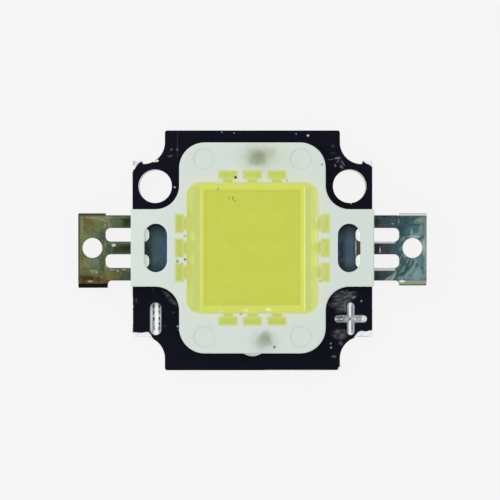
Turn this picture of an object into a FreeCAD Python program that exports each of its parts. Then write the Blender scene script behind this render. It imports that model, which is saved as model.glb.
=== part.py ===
import FreeCAD, Part
import math
import os

# A ten-watt chip-on-board LED: nine chips in three strings on a black-coated metal plate, inside a
# white frame moulded onto the plate and round two flat leads, under yellow phosphor gel.
# All sizes are in millimetres. The origin is the middle of the plate's underside, X runs from the
# minus lead to the plus lead, Y towards the two fixing holes, and Z up towards the light.

# Base plate, blanked from coated sheet
plate_length = 20.0
plate_width = 20.0
plate_thickness = 1.2
plate_edge_bevel = 0.08
notch_length = 2.7
notch_width = 2.8
notch_radius = 1.8
notch_lip_radius = 0.2
back_lip_rise = 0.3
back_lip_slope = 0.1
back_lip_gap = 0.04
back_lip_radius = 0.12
fixing_hole_diameter = 2.8
fixing_hole_inset = 1.89
fixing_hole_y = 5.35

# Polarity marks struck into the plate
minus_x = 8.06
plus_x = 8.2
mark_y = -5.71
mark_length = 2.7
minus_width = 0.95
plus_width = 0.62
mark_depth = 0.2
mark_bevel = 0.17

# White frame: a body with rounded corners, and an ear over each lead
frame_offset_y = 0.2
frame_height = 1.5
body_length = 12.04
body_setback = 1.335
body_corner_radius = 2.1
ear_width = 6.36
ear_fillet_radius = 1.95
frame_edge_bevel = 0.1

# Cavity in the frame: a sloping wall, a ledge at each lead, and a sloping step down to the plate
rim_size = 10.7
rim_corner_radius = 1.2
end_wall_run = 0.4
side_wall_run = 0.57
ledge_width = 0.55
step_run = 0.43
step_corner_radius = 0.3

# Keyed pockets that hold the gel, on each side of the cavity, with wider necks at the lead ends
keys_per_side = 3
key_pitch = 2.0
key_head_width = 1.47
key_head_length = 0.62
key_neck_length = 0.35
end_key_neck_width = 1.12
side_key_neck_width = 0.74
key_depth = 0.5

# Window in each ear, over the lead
window_inset = 2.04
window_length = 1.9
window_width = 4.0

# Moulding marks, and the posts that rivet the frame to the plate
post_x = 3.97
post_inset = 1.365
post_diameter = 1.2
post_foot_diameter = 1.9
sink_mark_diameter = 1.74
sink_mark_depth = 0.04
gate_width = 1.7
gate_reach = 0.3
gate_height = 0.6
gate_root = 0.4

# Leads, stamped from plated sheet
lead_thickness = 0.25
lead_lift = 0.55
lead_end_x = 14.4
lead_width = 5.4
lead_setback = 0.1
bar_length = 1.1
bar_width = 9.2
bar_corner_radius = 0.2
slot_start_x = 8.54
slot_end_x = 12.15
slot_width = 1.12
slot_pitch = 2.18
slot_corner_radius = 0.42
wire_hole_x = 13.24
wire_hole_diameter = 1.65
plus_stub_front = 0.42
plus_stub_start = 12.15
minus_stub_front = 0.6
minus_stub_start = 11.98
stub_back = 0.17
stub_front_fillet = 0.36
stub_back_fillet = 0.1
stub_drop = 0.14
stub_corner_radius = 0.04

# Chips, their bonds and wires, and the gel over them
chip_rows = 3
chip_columns = 3
chip_pitch_x = 2.2
chip_pitch_y = 2.5
chip_size = 1.1
chip_height = 0.15
mesa_inset = 0.03
mesa_height = 0.02
bond_margin = 0.05
bond_thickness = 0.03
pad_inset = 0.2
wire_diameter = 0.04
ball_diameter = 0.1
ball_height = 0.03
wire_rise = 0.4
wire_lead_clearance = 0.42
wire_bend_radius = 0.14
wire_sides = 4
wire_bend_steps = 2
stitch_length = 0.2
stitch_inset = 0.12
gel_drop = 0.03
gel_dish = 0.06

# Levels and edges that follow from the sizes
plate_top = plate_thickness
frame_top = plate_top + frame_height
lead_bottom = plate_top + lead_lift
lead_top = lead_bottom + lead_thickness
chip_bottom = plate_top + bond_thickness
chip_top = chip_bottom + chip_height
fixing_hole_x = plate_length / 2 - fixing_hole_inset
window_x = plate_length / 2 - window_inset
body_width = plate_width - 2 * body_setback
post_y = body_width / 2 - post_inset
rim_half = rim_size / 2
end_wall_foot = rim_half - end_wall_run
side_wall_foot = rim_half - side_wall_run * (frame_top - lead_top) / frame_height
ledge_edge = end_wall_foot - ledge_width
floor_half_length = ledge_edge - step_run
floor_half_width = rim_half - side_wall_run
bond_edge_x = ledge_edge + lead_setback

UP = FreeCAD.Vector(0, 0, 1)
FRAME_MIDDLE = FreeCAD.Vector(0, frame_offset_y, 0)
# How far a cutting tool runs past the face that it cuts
OVERCUT = 1.0


def point(x, y, z=0.0):
    return FreeCAD.Vector(x, y, z)


def rounded_wire(corners, closed=True):
    """A wire through corners given as (point, radius), with a tangent arc in place of each corner."""
    count = len(corners)
    starts = []
    ends = []
    arcs = []
    for index, (here, radius) in enumerate(corners):
        is_end = not closed and index in (0, count - 1)
        if is_end or radius <= 0:
            starts.append(here)
            ends.append(here)
            arcs.append(None)
            continue
        to_last = (corners[index - 1][0] - here).normalize()
        to_next = (corners[(index + 1) % count][0] - here).normalize()
        half_angle = to_last.getAngle(to_next) / 2
        reach = radius / math.tan(half_angle)
        bisector = (to_last + to_next).normalize()
        middle = here + bisector * (radius / math.sin(half_angle) - radius)
        starts.append(here + to_last * reach)
        ends.append(here + to_next * reach)
        arcs.append(middle)
    edges = []
    for index in range(count):
        if arcs[index] is not None:
            edges.append(Part.Arc(starts[index], arcs[index], ends[index]).toShape())
        if not closed and index == count - 1:
            break
        following = starts[(index + 1) % count]
        if ends[index].distanceToPoint(following) > 1e-7:
            edges.append(Part.LineSegment(ends[index], following).toShape())
    return Part.Wire(edges)


def rectangle_wire(length, width, radius, z):
    """A rectangle about the Z axis, with rounded corners."""
    x = length / 2
    y = width / 2
    corners = [(-x, -y), (x, -y), (x, y), (-x, y)]
    return rounded_wire([(point(cx, cy, z), radius) for cx, cy in corners])


def prism(wire, height):
    return Part.Face(wire).extrude(UP * height)


def rounded_block(length, width, radius, bottom, top):
    return prism(rectangle_wire(length, width, radius, bottom), top - bottom)


def sloping_block(lower, upper, bottom, top, radius):
    """A block about the Z axis with sloping sides, between two rectangles given by half length and half width."""
    (low_x, low_y), (high_x, high_y) = lower, upper
    height = top - bottom
    block = Part.makeWedge(-low_x, 0, -low_y, -high_y, -high_x, low_x, height, low_y, high_y, high_x)
    block.rotate(point(0, 0), point(1, 0), 90)
    slanted = [e for e in block.Edges if e.BoundBox.ZLength > height / 2]
    return moved(block.makeFillet(radius, slanted), UP * bottom)


def edges_at(shape, z):
    """The edges that lie wholly at height z."""
    return [e for e in shape.Edges if all(abs(v.Z - z) < 1e-6 for v in e.Vertexes)]


def moved(shape, offset):
    copy = shape.copy()
    copy.translate(offset)
    return copy


def mirrored_x(shape):
    return shape.mirror(point(0, 0, 0), point(1, 0, 0))


def four_ways(x, y):
    return [(side_x * x, side_y * y) for side_x in (-1, 1) for side_y in (-1, 1)]


def grid_positions(count, pitch):
    """Positions of evenly pitched copies about zero."""
    return [(index - (count - 1) / 2) * pitch for index in range(count)]


# The plate

def plate_outline():
    """The blank's outline, counter-clockwise: four sides, and a rounded notch bitten out of each corner.

    The cropping tool left a raised lip outside each back notch."""
    x = plate_length / 2
    y = plate_width / 2
    inner_x = x - notch_length
    inner_y = y - notch_width
    lip_foot_x = inner_x + notch_radius + back_lip_gap
    lip_y = inner_y + back_lip_rise
    notch = [
        (inner_x, inner_y, notch_radius),
        (inner_x, y, notch_lip_radius),
    ]
    front_quarter = [(x, inner_y, notch_lip_radius)] + notch
    back_quarter = [
        (x, lip_y, back_lip_radius),
        (lip_foot_x + back_lip_slope, lip_y, back_lip_radius),
        (lip_foot_x, inner_y, 0),
    ] + notch
    corners = []
    for sign_x, sign_y in ((1, 1), (-1, 1), (-1, -1), (1, -1)):
        quarter = back_quarter if sign_y > 0 else front_quarter
        signed = [(point(sign_x * cx, sign_y * cy), r) for cx, cy, r in quarter]
        corners += signed if sign_x == sign_y else signed[::-1]
    return rounded_wire(corners)


def rivet_posts():
    """The frame's tapered posts, which fill holes through the plate and are wider below, so they hold it."""
    foot = post_foot_diameter / 2
    return [
        Part.makeCone(foot, post_diameter / 2, plate_thickness, point(x, y) + FRAME_MIDDLE)
        for x, y in four_ways(post_x, post_y)
    ]


def struck_groove(width):
    """A groove along X with rounded ends, and a bevel round its floor."""
    floor = plate_top - mark_depth
    groove = rounded_block(mark_length, width, width / 2, floor, plate_top)
    return groove.makeChamfer(mark_bevel, edges_at(groove, floor))


def polarity_marks():
    """A minus by the minus lead and a plus by the plus lead."""
    minus = struck_groove(minus_width)
    minus.rotate(point(0, 0), UP, 90)
    across = struck_groove(plus_width)
    upright = across.copy()
    upright.rotate(point(0, 0), UP, 90)
    return [
        moved(minus, point(-minus_x, mark_y)),
        moved(across, point(plus_x, mark_y)),
        moved(upright, point(plus_x, mark_y)),
    ]


def base_plate():
    blank = prism(plate_outline(), plate_thickness)
    blank = blank.makeChamfer(plate_edge_bevel, edges_at(blank, plate_top))
    radius = fixing_hole_diameter / 2
    tools = [
        Part.makeCylinder(radius, plate_thickness, point(side * fixing_hole_x, fixing_hole_y))
        for side in (-1, 1)
    ]
    return blank.cut(tools + rivet_posts() + polarity_marks())


# The leads

def lead_outline(stub_front, front_start_x):
    """A plus lead seen from above: bond bar in the cavity, strip through the ear, pad with tie-bar stubs."""
    strip = lead_width / 2
    bar = bar_width / 2
    bar_end_x = bond_edge_x + bar_length
    front = -strip - stub_front
    back = strip + stub_back
    corners = [
        (bond_edge_x, -bar, bar_corner_radius),
        (bar_end_x, -bar, bar_corner_radius),
        (bar_end_x, -strip, bar_corner_radius),
        (front_start_x, -strip, stub_front_fillet),
        (front_start_x, front, stub_corner_radius),
        (lead_end_x, front, stub_corner_radius),
        (lead_end_x, back, stub_corner_radius),
        (slot_end_x, back, stub_corner_radius),
        (slot_end_x, strip, stub_back_fillet),
        (bar_end_x, strip, bar_corner_radius),
        (bar_end_x, bar, bar_corner_radius),
        (bond_edge_x, bar, bar_corner_radius),
    ]
    return rounded_wire([(point(x, y, lead_bottom), r) for x, y, r in corners])


def lead_slots():
    """The two slots that leave three legs between the ear and the pad."""
    length = slot_end_x - slot_start_x
    middle_x = (slot_start_x + slot_end_x) / 2
    slot = rounded_block(length, slot_width, slot_corner_radius, lead_bottom, lead_top)
    return [moved(slot, point(middle_x, side * slot_pitch / 2)) for side in (-1, 1)]


def sheared_slope(side, stub):
    """What the shearing of the tie bars drew down: a wedge off the pad's top, from the strip's edge outwards."""
    edge = lead_width / 2
    rise = stub_drop / stub
    start_x = slot_end_x - OVERCUT
    section = [
        point(start_x, side * edge, lead_top),
        point(start_x, side * (edge + stub + OVERCUT), lead_top - rise * (stub + OVERCUT)),
        point(start_x, side * (edge + stub + OVERCUT), lead_top + OVERCUT),
        point(start_x, side * edge, lead_top + OVERCUT),
    ]
    face = Part.Face(Part.makePolygon(section + section[:1]))
    return face.extrude(point(lead_end_x - slot_end_x + 2 * OVERCUT, 0))


def lead(stub_front, front_start_x):
    """A lead on the plus side."""
    sheet = prism(lead_outline(stub_front, front_start_x), lead_thickness)
    hole = Part.makeCylinder(wire_hole_diameter / 2, lead_thickness, point(wire_hole_x, 0, lead_bottom))
    slopes = [sheared_slope(-1, stub_front), sheared_slope(1, stub_back)]
    sheet = sheet.cut(lead_slots() + [hole] + slopes)
    return moved(sheet, FRAME_MIDDLE)


# The frame

def frame_outline():
    """Body and ears as one outline, counter-clockwise from the plus ear's front corner."""
    ear_x = plate_length / 2
    ear_y = ear_width / 2
    body_x = body_length / 2
    body_y = body_width / 2
    quarter = [
        (ear_x, ear_y, 0),
        (body_x, ear_y, ear_fillet_radius),
        (body_x, body_y, body_corner_radius),
    ]
    corners = []
    for sign_x, sign_y in ((1, 1), (-1, 1), (-1, -1), (1, -1)):
        signed = [(point(sign_x * cx, sign_y * cy, plate_top), r) for cx, cy, r in quarter]
        corners += signed if sign_x == sign_y else signed[::-1]
    return rounded_wire(corners)


def cavity():
    """The well down to the plate, open above: sloping wall to the lead ledges, then the step to the floor."""
    foot = (end_wall_foot, side_wall_foot)
    rim = (rim_half, rim_half)
    wall = sloping_block(foot, rim, lead_top, frame_top, rim_corner_radius)
    floor = (floor_half_length, floor_half_width)
    mouth = (ledge_edge, side_wall_foot)
    step = sloping_block(floor, mouth, plate_top, lead_top, step_corner_radius)
    return wall.fuse(step)


def key_pocket(neck_width):
    """A T-shaped pocket in the rim towards +X: a narrow neck to the cavity and a wider head behind it."""
    bottom = frame_top - key_depth
    neck_start = end_wall_foot
    neck_end = rim_half + key_neck_length
    neck = Part.makeBox(
        neck_end - neck_start, neck_width, key_depth, point(neck_start, -neck_width / 2, bottom)
    )
    head = Part.makeBox(
        key_head_length, key_head_width, key_depth, point(neck_end, -key_head_width / 2, bottom)
    )
    return neck.fuse(head)


def key_pockets():
    """The keyed pockets along the rim's four sides."""
    keys = []
    for quarter_turn in range(4):
        at_lead_end = quarter_turn % 2 == 0
        key = key_pocket(end_key_neck_width if at_lead_end else side_key_neck_width)
        for along in grid_positions(keys_per_side, key_pitch):
            copy = moved(key, point(0, along))
            copy.rotate(point(0, 0), UP, 90 * quarter_turn)
            keys.append(copy)
    return keys


def ear_windows():
    """Round-ended openings that bare the leads."""
    window = rounded_block(window_length, window_width, window_length / 2, lead_top, frame_top)
    return [moved(window, point(side * window_x, 0)) for side in (-1, 1)]


def sink_marks():
    """Shallow round dips in the top, over the posts."""
    radius = sink_mark_diameter / 2
    bottom = frame_top - sink_mark_depth
    return [
        Part.makeCylinder(radius, sink_mark_depth, point(x, y, bottom))
        for x, y in four_ways(post_x, post_y)
    ]


def gate_stub():
    """What is left of the moulding gate, in the middle of the front side: a low half-round lug."""
    half = gate_width / 2
    front = -body_width / 2
    corners = [point(half, front + gate_root), point(-half, front + gate_root), point(-half, front)]
    sides = Part.makePolygon([point(half, front)] + corners)
    nose = Part.Arc(corners[-1], point(0, front - gate_reach), point(half, front)).toShape()
    lug = prism(Part.Wire(sides.Edges + [nose]), gate_height)
    return moved(lug, UP * plate_top)


def moulded_frame(leads):
    block = prism(frame_outline(), frame_height)
    block = block.makeChamfer(frame_edge_bevel, edges_at(block, frame_top))
    block = block.cut([cavity()] + key_pockets() + ear_windows() + sink_marks())
    block = moved(block.fuse(gate_stub()), FRAME_MIDDLE)
    return block.fuse(rivet_posts()).removeSplitter().cut(leads)


# Chips, wires and gel

def chip_places():
    """The name ending and place of each chip, string by string from the back."""
    places = []
    for row, y in enumerate(reversed(grid_positions(chip_rows, chip_pitch_y)), start=1):
        for column, x in enumerate(grid_positions(chip_columns, chip_pitch_x), start=1):
            places.append((f"{row}_{column}", point(x, y) + FRAME_MIDDLE))
    return places


def led_chip(place):
    """A die with a thin mesa on top."""
    body_height = chip_height - mesa_height
    half = chip_size / 2
    body = Part.makeBox(chip_size, chip_size, body_height, place + point(-half, -half, chip_bottom))
    mesa_size = chip_size - 2 * mesa_inset
    half = mesa_size / 2
    corner = point(-half, -half, chip_bottom + body_height)
    return body.fuse(Part.makeBox(mesa_size, mesa_size, mesa_height, place + corner))


def die_bond(place):
    size = chip_size + 2 * bond_margin
    half = size / 2
    return Part.makeBox(size, size, bond_thickness, place + point(-half, -half, plate_top))


def flat_sided_ring(radius, z):
    """The corners of a regular polygon about the Z axis."""
    angles = [(side + 0.5) * 2 * math.pi / wire_sides for side in range(wire_sides)]
    return [point(radius * math.cos(a), radius * math.sin(a), z) for a in angles]


def closed_shell_solid(rings):
    """A solid through rings of corners, flat-sided from ring to ring, with both ends closed."""
    faces = [Part.Face(Part.makePolygon(ring + ring[:1])) for ring in (rings[0], rings[-1])]
    for lower, upper in zip(rings, rings[1:]):
        for side in range(len(lower)):
            following = (side + 1) % len(lower)
            quad = [lower[side], lower[following], upper[following], upper[side], lower[side]]
            faces.append(Part.Face(Part.makePolygon(quad)))
    solid = Part.Solid(Part.Shell(faces))
    if solid.Volume < 0:
        solid.reverse()
    return solid


def path_points(path):
    """Points along a path of lines and arcs, each arc cut into a few equal steps."""
    points = [path.OrderedEdges[0].discretize(2)[0]]
    for edge in path.OrderedEdges:
        steps = wire_bend_steps if isinstance(edge.Curve, Part.Circle) else 1
        found = edge.discretize(steps + 1)
        if found[0].distanceToPoint(points[-1]) > 1e-6:
            found.reverse()
        points += found[1:]
    return points


def strand(points, radius):
    """A flat-sided strand along points in a plane of constant Y, mitred at each of them."""
    across = point(0, 1)
    profile = flat_sided_ring(radius, 0)
    directions = [(after - before).normalize() for before, after in zip(points, points[1:])]
    rings = []
    for index, here in enumerate(points):
        incoming = directions[max(index - 1, 0)]
        outgoing = directions[min(index, len(directions) - 1)]
        mitre = (incoming + outgoing).normalize()
        beside = across.cross(incoming)
        ring = []
        for corner in profile:
            offset = beside * corner.x + across * corner.y
            ring.append(here + offset - incoming * (offset.dot(mitre) / incoming.dot(mitre)))
        rings.append(ring)
    return closed_shell_solid(rings)


def bond_wire(ball, landing, rise):
    """A wire from a ball on one pad, up and over to a stitch that lies flat on the next."""
    radius = wire_diameter / 2
    heel = landing + UP * radius * math.cos(math.pi / wire_sides)
    onward = point(landing.x - ball.x, 0).normalize()
    corners = [
        (ball + UP * ball_height / 2, 0),
        (ball + UP * rise, wire_bend_radius),
        (heel, wire_bend_radius),
        (heel + onward * stitch_length, 0),
    ]
    loop = strand(path_points(rounded_wire(corners, closed=False)), radius)
    bump = closed_shell_solid([flat_sided_ring(ball_diameter / 2, z) for z in (0, ball_height)])
    return loop.fuse(moved(bump, ball))


def string_wires(row, y):
    """The wires of one string: minus lead, across the chips, plus lead."""
    pad = chip_size / 2 - pad_inset
    columns = grid_positions(chip_columns, chip_pitch_x)
    lead_x = bond_edge_x + stitch_inset
    lead_rise = lead_top - chip_top + wire_lead_clearance
    here = y + frame_offset_y
    wires = []
    first = point(columns[0] - pad, here, chip_top)
    wires.append(bond_wire(first, point(-lead_x, here, lead_top), lead_rise))
    for left, right in zip(columns, columns[1:]):
        ball = point(left + pad, here, chip_top)
        landing = point(right - pad - stitch_length / 2, here, chip_top)
        wires.append(bond_wire(ball, landing, wire_rise))
    last = point(columns[-1] + pad, here, chip_top)
    wires.append(bond_wire(last, point(lead_x, here, lead_top), lead_rise))
    return {f"bond_wire_{row}_{number}": wire for number, wire in enumerate(wires, start=1)}


def all_wires():
    wires = {}
    for row, y in enumerate(reversed(grid_positions(chip_rows, chip_pitch_y)), start=1):
        wires.update(string_wires(row, y))
    return wires


def phosphor_gel(buried):
    """The gel fills the cavity and its keys round what is buried in it, under a slightly dished top."""
    filling = cavity().fuse(key_pockets())
    dish_radius = (rim_half**2 + gel_dish**2) / (2 * gel_dish)
    dish_bottom = frame_top - gel_drop - gel_dish
    dish = Part.makeSphere(dish_radius, point(0, 0, dish_bottom + dish_radius), point(0, 1))
    filling = moved(filling.cut(dish).removeSplitter(), FRAME_MIDDLE)
    return filling.cut(buried)


def build():
    """Every piece of the module by its node name."""
    plus_lead = lead(plus_stub_front, plus_stub_start)
    minus_lead = mirrored_x(lead(minus_stub_front, minus_stub_start))
    pieces = {
        "base_plate": base_plate(),
        "lead_positive": plus_lead,
        "lead_negative": minus_lead,
        "moulded_frame": moulded_frame([plus_lead, minus_lead]),
    }
    inside = {}
    for ending, place in chip_places():
        inside[f"led_chip_{ending}"] = led_chip(place)
        inside[f"die_bond_{ending}"] = die_bond(place)
    inside.update(all_wires())
    pieces["phosphor_gel"] = phosphor_gel(list(inside.values()))
    pieces.update(inside)
    return pieces


os.makedirs("parts", exist_ok=True)
for name, shape in build().items():
    shape.exportStep(f"parts/{name}.step")
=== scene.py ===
import math

import bmesh
import bpy
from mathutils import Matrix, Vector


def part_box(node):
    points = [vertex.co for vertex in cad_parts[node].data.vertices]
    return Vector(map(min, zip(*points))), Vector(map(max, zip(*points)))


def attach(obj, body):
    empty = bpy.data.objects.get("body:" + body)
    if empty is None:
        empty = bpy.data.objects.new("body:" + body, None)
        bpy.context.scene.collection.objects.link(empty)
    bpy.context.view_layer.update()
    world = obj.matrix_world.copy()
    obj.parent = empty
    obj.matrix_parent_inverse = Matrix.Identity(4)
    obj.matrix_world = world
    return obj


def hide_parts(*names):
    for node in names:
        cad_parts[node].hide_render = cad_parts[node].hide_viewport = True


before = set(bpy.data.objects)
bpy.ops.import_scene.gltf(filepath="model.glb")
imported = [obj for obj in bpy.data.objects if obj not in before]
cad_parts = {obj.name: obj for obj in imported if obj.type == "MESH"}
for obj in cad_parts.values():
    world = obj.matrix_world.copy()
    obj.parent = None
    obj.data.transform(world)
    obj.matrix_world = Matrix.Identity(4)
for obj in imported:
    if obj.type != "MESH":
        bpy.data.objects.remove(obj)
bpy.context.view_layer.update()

bl_info = {
    "name": "Chip-on-board LED",
    "version": (1, 0, 0),
    "blender": (4, 5, 0),
    "location": "3D View > Sidebar > COB LED",
    "description": "Finishes a packed ten-watt chip-on-board LED and sets its stage",
    "category": "Object",
}

# Materials work in millimetres, counted from the middle of the plate's underside

MILLIMETRE = 0.001
BODY = "root"

plate_low, plate_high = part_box("base_plate")
frame_low, frame_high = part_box("moulded_frame")
gel_low, gel_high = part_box("phosphor_gel")
lead_low, lead_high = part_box("lead_positive")
PLATE_TOP = plate_high.z / MILLIMETRE
FRAME_TOP = frame_high.z / MILLIMETRE
FRAME_MIDDLE_Y = (frame_low.y + frame_high.y) / 2 / MILLIMETRE
GEL_TOP = gel_high.z / MILLIMETRE
GEL_MIDDLE_Y = (gel_low.y + gel_high.y) / 2 / MILLIMETRE
LEAD_TOP = lead_high.z / MILLIMETRE
LEAD_BOTTOM = lead_low.z / MILLIMETRE
HALF_GROOVE = 0.1
TOOTH_PITCH = 0.27
TOOTH_DEPTH = 0.03
SINK_MARK_X = 3.97
SINK_MARKS_Y = (7.5, -7.1)
SINK_MARK_RADIUS = 0.87
WINDOW_X = 7.96
WINDOW_HALF = (1.17, 2.0, 0)
WINDOW_CORNER = 1.1
RIM_HALF = 5.35
RIM_CORNER = 1.2
KEY_PITCH = 2.0
KEY_NECK = 0.35
KEY_HEAD = 0.62
KEY_HALF_WIDTH = 0.735
NECK_HALF_WIDTH = 0.46
KEY_CORNER = 0.04
LINE_HALF = 0.03
CHIP_PITCH = (2.2, 2.5)
CHIPS_Y = 0.2
MESA_HEIGHT = 1.37
DIRT_AT_RIM = (-1.38, 5.99, 0.11, 1)

# Least upward share of a normal for a face that counts as level

FACING_UP = 0.8

# Lengths in metres, as Blender keeps them, but for the sensor's width in millimetres

MERGE_DISTANCE = 0.000001
TOP_LAYER = 0.0003
KEY_LAMP_SIZE = 0.14
KEY_LAMP_PLACE = (-0.16, 0.07, 0.2)
CAMERA_REACH = (0.001, 10.0)
SENSOR_MILLIMETRES = 36.0


# Settings

def linear(value):
    share = value / 255
    return share / 12.92 if share <= 0.04045 else ((share + 0.055) / 1.055) ** 2.4


def shade(red, green, blue):
    """A colour as a screen shows it, 0 to 255, in the linear values that Blender keeps."""
    return (linear(red), linear(green), linear(blue))


WHITE = (1, 1, 1)
DARK_DIRT = shade(14, 20, 6)


def colour_setting(name, description, red, green, blue):
    return bpy.props.FloatVectorProperty(
        name=name, description=description, subtype="COLOR", size=3, min=0, max=1,
        default=shade(red, green, blue))


def length_setting(name, description, millimetres):
    return bpy.props.FloatProperty(
        name=name, description=description, default=millimetres * MILLIMETRE, unit="LENGTH", precision=6)


def share_setting(name, description, default):
    return bpy.props.FloatProperty(
        name=name, description=description, default=default, min=0, max=1, subtype="FACTOR")


class PlateLook(bpy.types.PropertyGroup):
    coat: colour_setting("Coat", "Black coat on the plate's top", 11, 13, 20)
    coat_tint: colour_setting("Coat tint", "Blue clouds in the black coat", 13, 14, 34)
    bare_metal: colour_setting("Bare metal", "Sheared walls and bright lines in the marks", 226, 227, 232)
    # Chipped: also the colour of painted highlights in the plus mark
    chipped: colour_setting("Chipped edge", "Metal where the coat has come off an edge", 246, 247, 249)
    groove: colour_setting("Groove", "Grey metal in the struck marks", 188, 190, 196)
    # Groove shadow: painted shade lines in the struck marks
    groove_shadow: colour_setting("Groove shadow", "Dark tooling lines in the struck marks", 64, 67, 70)
    scuff: colour_setting("Scuff", "Grey rubs and nicks in the coat", 128, 131, 140)
    underside: colour_setting("Underside", "Bare metal that meets the heat sink", 182, 178, 170)
    coat_roughness: share_setting("Coat roughness", "Roughness of the black coat", 0.42)


class FrameLook(bpy.types.PropertyGroup):
    plastic: colour_setting("Plastic", "White moulded plastic", 214, 225, 217)
    # Painted light: the minus side's plastic is painted lighter, as it lies nearer the lamp
    plastic_near_light: colour_setting("Plastic, lit side", "White plastic on the minus side", 219, 230, 221)
    # Gel glow: painted light, the yellow glow that the gel casts on the plastic
    gel_glow: colour_setting("Gel glow", "Yellow that the gel lends to the plastic beside it", 223, 231, 197)
    gel_stain: colour_setting("Gel stain", "Yellow edge where the plastic meets the gel", 210, 219, 168)
    # Smudge: olive-grey smudges at the top and bottom middle of the frame
    smudge: colour_setting("Smudge", "Olive-grey burn at the mould's gate and vent", 140, 150, 122)
    speck: colour_setting("Speck", "Dark dirt on the plastic", 96, 102, 96)
    plastic_roughness: share_setting("Plastic roughness", "Roughness of the plastic", 0.5)


class LeadLook(bpy.types.PropertyGroup):
    minus_plating: colour_setting("Minus plating", "Olive plating on the minus lead", 96, 102, 70)
    minus_green: colour_setting("Minus green", "Green patches on the minus lead", 104, 118, 66)
    minus_cool: colour_setting("Minus cool patches", "Grey-teal patches on the minus lead", 80, 98, 84)
    minus_brown: colour_setting("Minus brown", "Rusty patches on the minus lead", 104, 86, 48)
    minus_dark: colour_setting("Minus dark", "Burnt patches on the minus lead", 58, 46, 14)
    # Minus legs: darker than the plating as painted shade
    minus_leg: colour_setting("Minus legs", "Grey-green legs of the minus lead", 68, 80, 58)
    plus_plating: colour_setting("Plus plating", "Teal plating on the plus lead", 66, 92, 96)
    plus_pale: colour_setting("Plus pale patches", "Pale patches on the plus lead", 132, 162, 158)
    plus_blue: colour_setting("Plus blue patches", "Blue patches on the plus lead", 82, 113, 129)
    plus_dark: colour_setting("Plus dark patches", "Dark teal patches on the plus lead", 42, 70, 74)
    # Plus legs: darker than the plating as painted shade
    plus_leg: colour_setting("Plus legs", "Dark legs of the plus lead", 58, 70, 68)
    lip: colour_setting("Lip", "Pale sheared edge of a lead", 190, 196, 178)
    lead_roughness: share_setting("Lead roughness", "Roughness of the plating", 0.38)


class GelLook(bpy.types.PropertyGroup):
    over_floor: colour_setting("Over the floor", "Gel over the chips", 201, 209, 76)
    over_chips: colour_setting("Over a chip", "Brighter spot over each chip", 208, 216, 68)
    over_left_step: colour_setting("Over the minus step", "Gel over the minus side's step", 216, 224, 106)
    over_right_step: colour_setting("Over the plus step", "Gel over the plus side's step", 219, 226, 104)
    over_ledge: colour_setting("Over the ledge", "Greyer gel over the lead ends", 201, 212, 124)
    over_side_wall: colour_setting("Over the side walls", "Gel over the front and back walls", 216, 224, 101)
    # Painted light and shade: the minus wall darker and the plus wall paler, as lit from the minus side
    over_left_wall: colour_setting("Over the minus wall", "Gel over the minus side's wall", 199, 210, 108)
    over_right_wall: colour_setting("Over the plus wall", "Gel over the plus side's wall", 209, 218, 124)
    in_keys: colour_setting("In the keys", "Gel in the keyed pockets", 196, 207, 98)
    bright_line: colour_setting("Bright line", "Light caught along the step", 246, 251, 158)
    halo: colour_setting("Halo", "Paler gel beside the plastic", 212, 221, 152)
    rim_line: colour_setting("Rim line", "Darker line where the gel meets the plastic", 188, 200, 74)
    gel_roughness: share_setting("Gel roughness", "Roughness of the gel's skin", 0.22)
    meniscus_width: length_setting("Meniscus width", "Rim where the gel climbs the plastic", 0.09)
    meniscus_rise: length_setting("Meniscus rise", "How far the gel climbs the plastic", 0.022)


class InsideLook(bpy.types.PropertyGroup):
    crystal: colour_setting("Crystal", "Chips under the gel", 178, 188, 205)
    adhesive: colour_setting("Adhesive", "Pads under the chips", 232, 232, 228)
    gold: colour_setting("Gold", "Bond wires", 238, 200, 124)


class StageLook(bpy.types.PropertyGroup):
    camera_height: length_setting("Camera height", "Camera above the plate's underside", 102.2)
    view_middle_x: length_setting("View middle, X", "Point under the camera", -0.2)
    view_middle_y: length_setting("View middle, Y", "Point under the camera", 0.03)
    view_width: length_setting("View width", "Width that the view takes in at the plate's top", 41.667)
    backdrop: colour_setting("Backdrop", "Floor and background", 246, 246, 246)
    floor_size: length_setting("Floor size", "Side of the floor", 1600)
    floor_gap: length_setting("Floor gap", "Floor below the plate's underside", 0.02)
    shadow_share: share_setting("Shadow share", "How much of the floor's shadow shows", 0.07)
    sky_strength: bpy.props.FloatProperty(
        name="Sky strength", description="Even light from all round", default=0.8, min=0)
    key_power: bpy.props.FloatProperty(
        name="Key lamp", description="Large soft lamp behind the minus side", default=0.16, min=0,
        unit="POWER")


LOOKS = {
    "led_plate_look": PlateLook,
    "led_frame_look": FrameLook,
    "led_lead_look": LeadLook,
    "led_gel_look": GelLook,
    "led_inside_look": InsideLook,
    "led_stage_look": StageLook,
}


# Node helpers

def fill(tree, socket, value):
    """Gives a socket a link, a colour or a number."""
    if isinstance(value, bpy.types.NodeSocket):
        tree.links.new(value, socket)
    elif socket.type == "RGBA":
        socket.default_value = (value[0], value[1], value[2], 1)
    else:
        socket.default_value = value


def put(tree, kind, inputs=None, **settings):
    """Adds a node with its properties set and its inputs filled."""
    node = tree.nodes.new(kind)
    for name, value in settings.items():
        setattr(node, name, value)
    for key, value in (inputs or {}).items():
        fill(tree, node.inputs[key], value)
    return node


def calc(tree, operation, first, second=0.0, third=0.0):
    return put(tree, "ShaderNodeMath", {0: first, 1: second, 2: third}, operation=operation).outputs[0]


def vector_calc(tree, operation, first, second=(0, 0, 0), third=(0, 0, 0), output="Vector"):
    inputs = {0: first, 1: second, 2: third}
    return put(tree, "ShaderNodeVectorMath", inputs, operation=operation).outputs[output]


def scaled(tree, vector, scale):
    return put(tree, "ShaderNodeVectorMath", {0: vector, "Scale": scale}, operation="SCALE").outputs[0]


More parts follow.
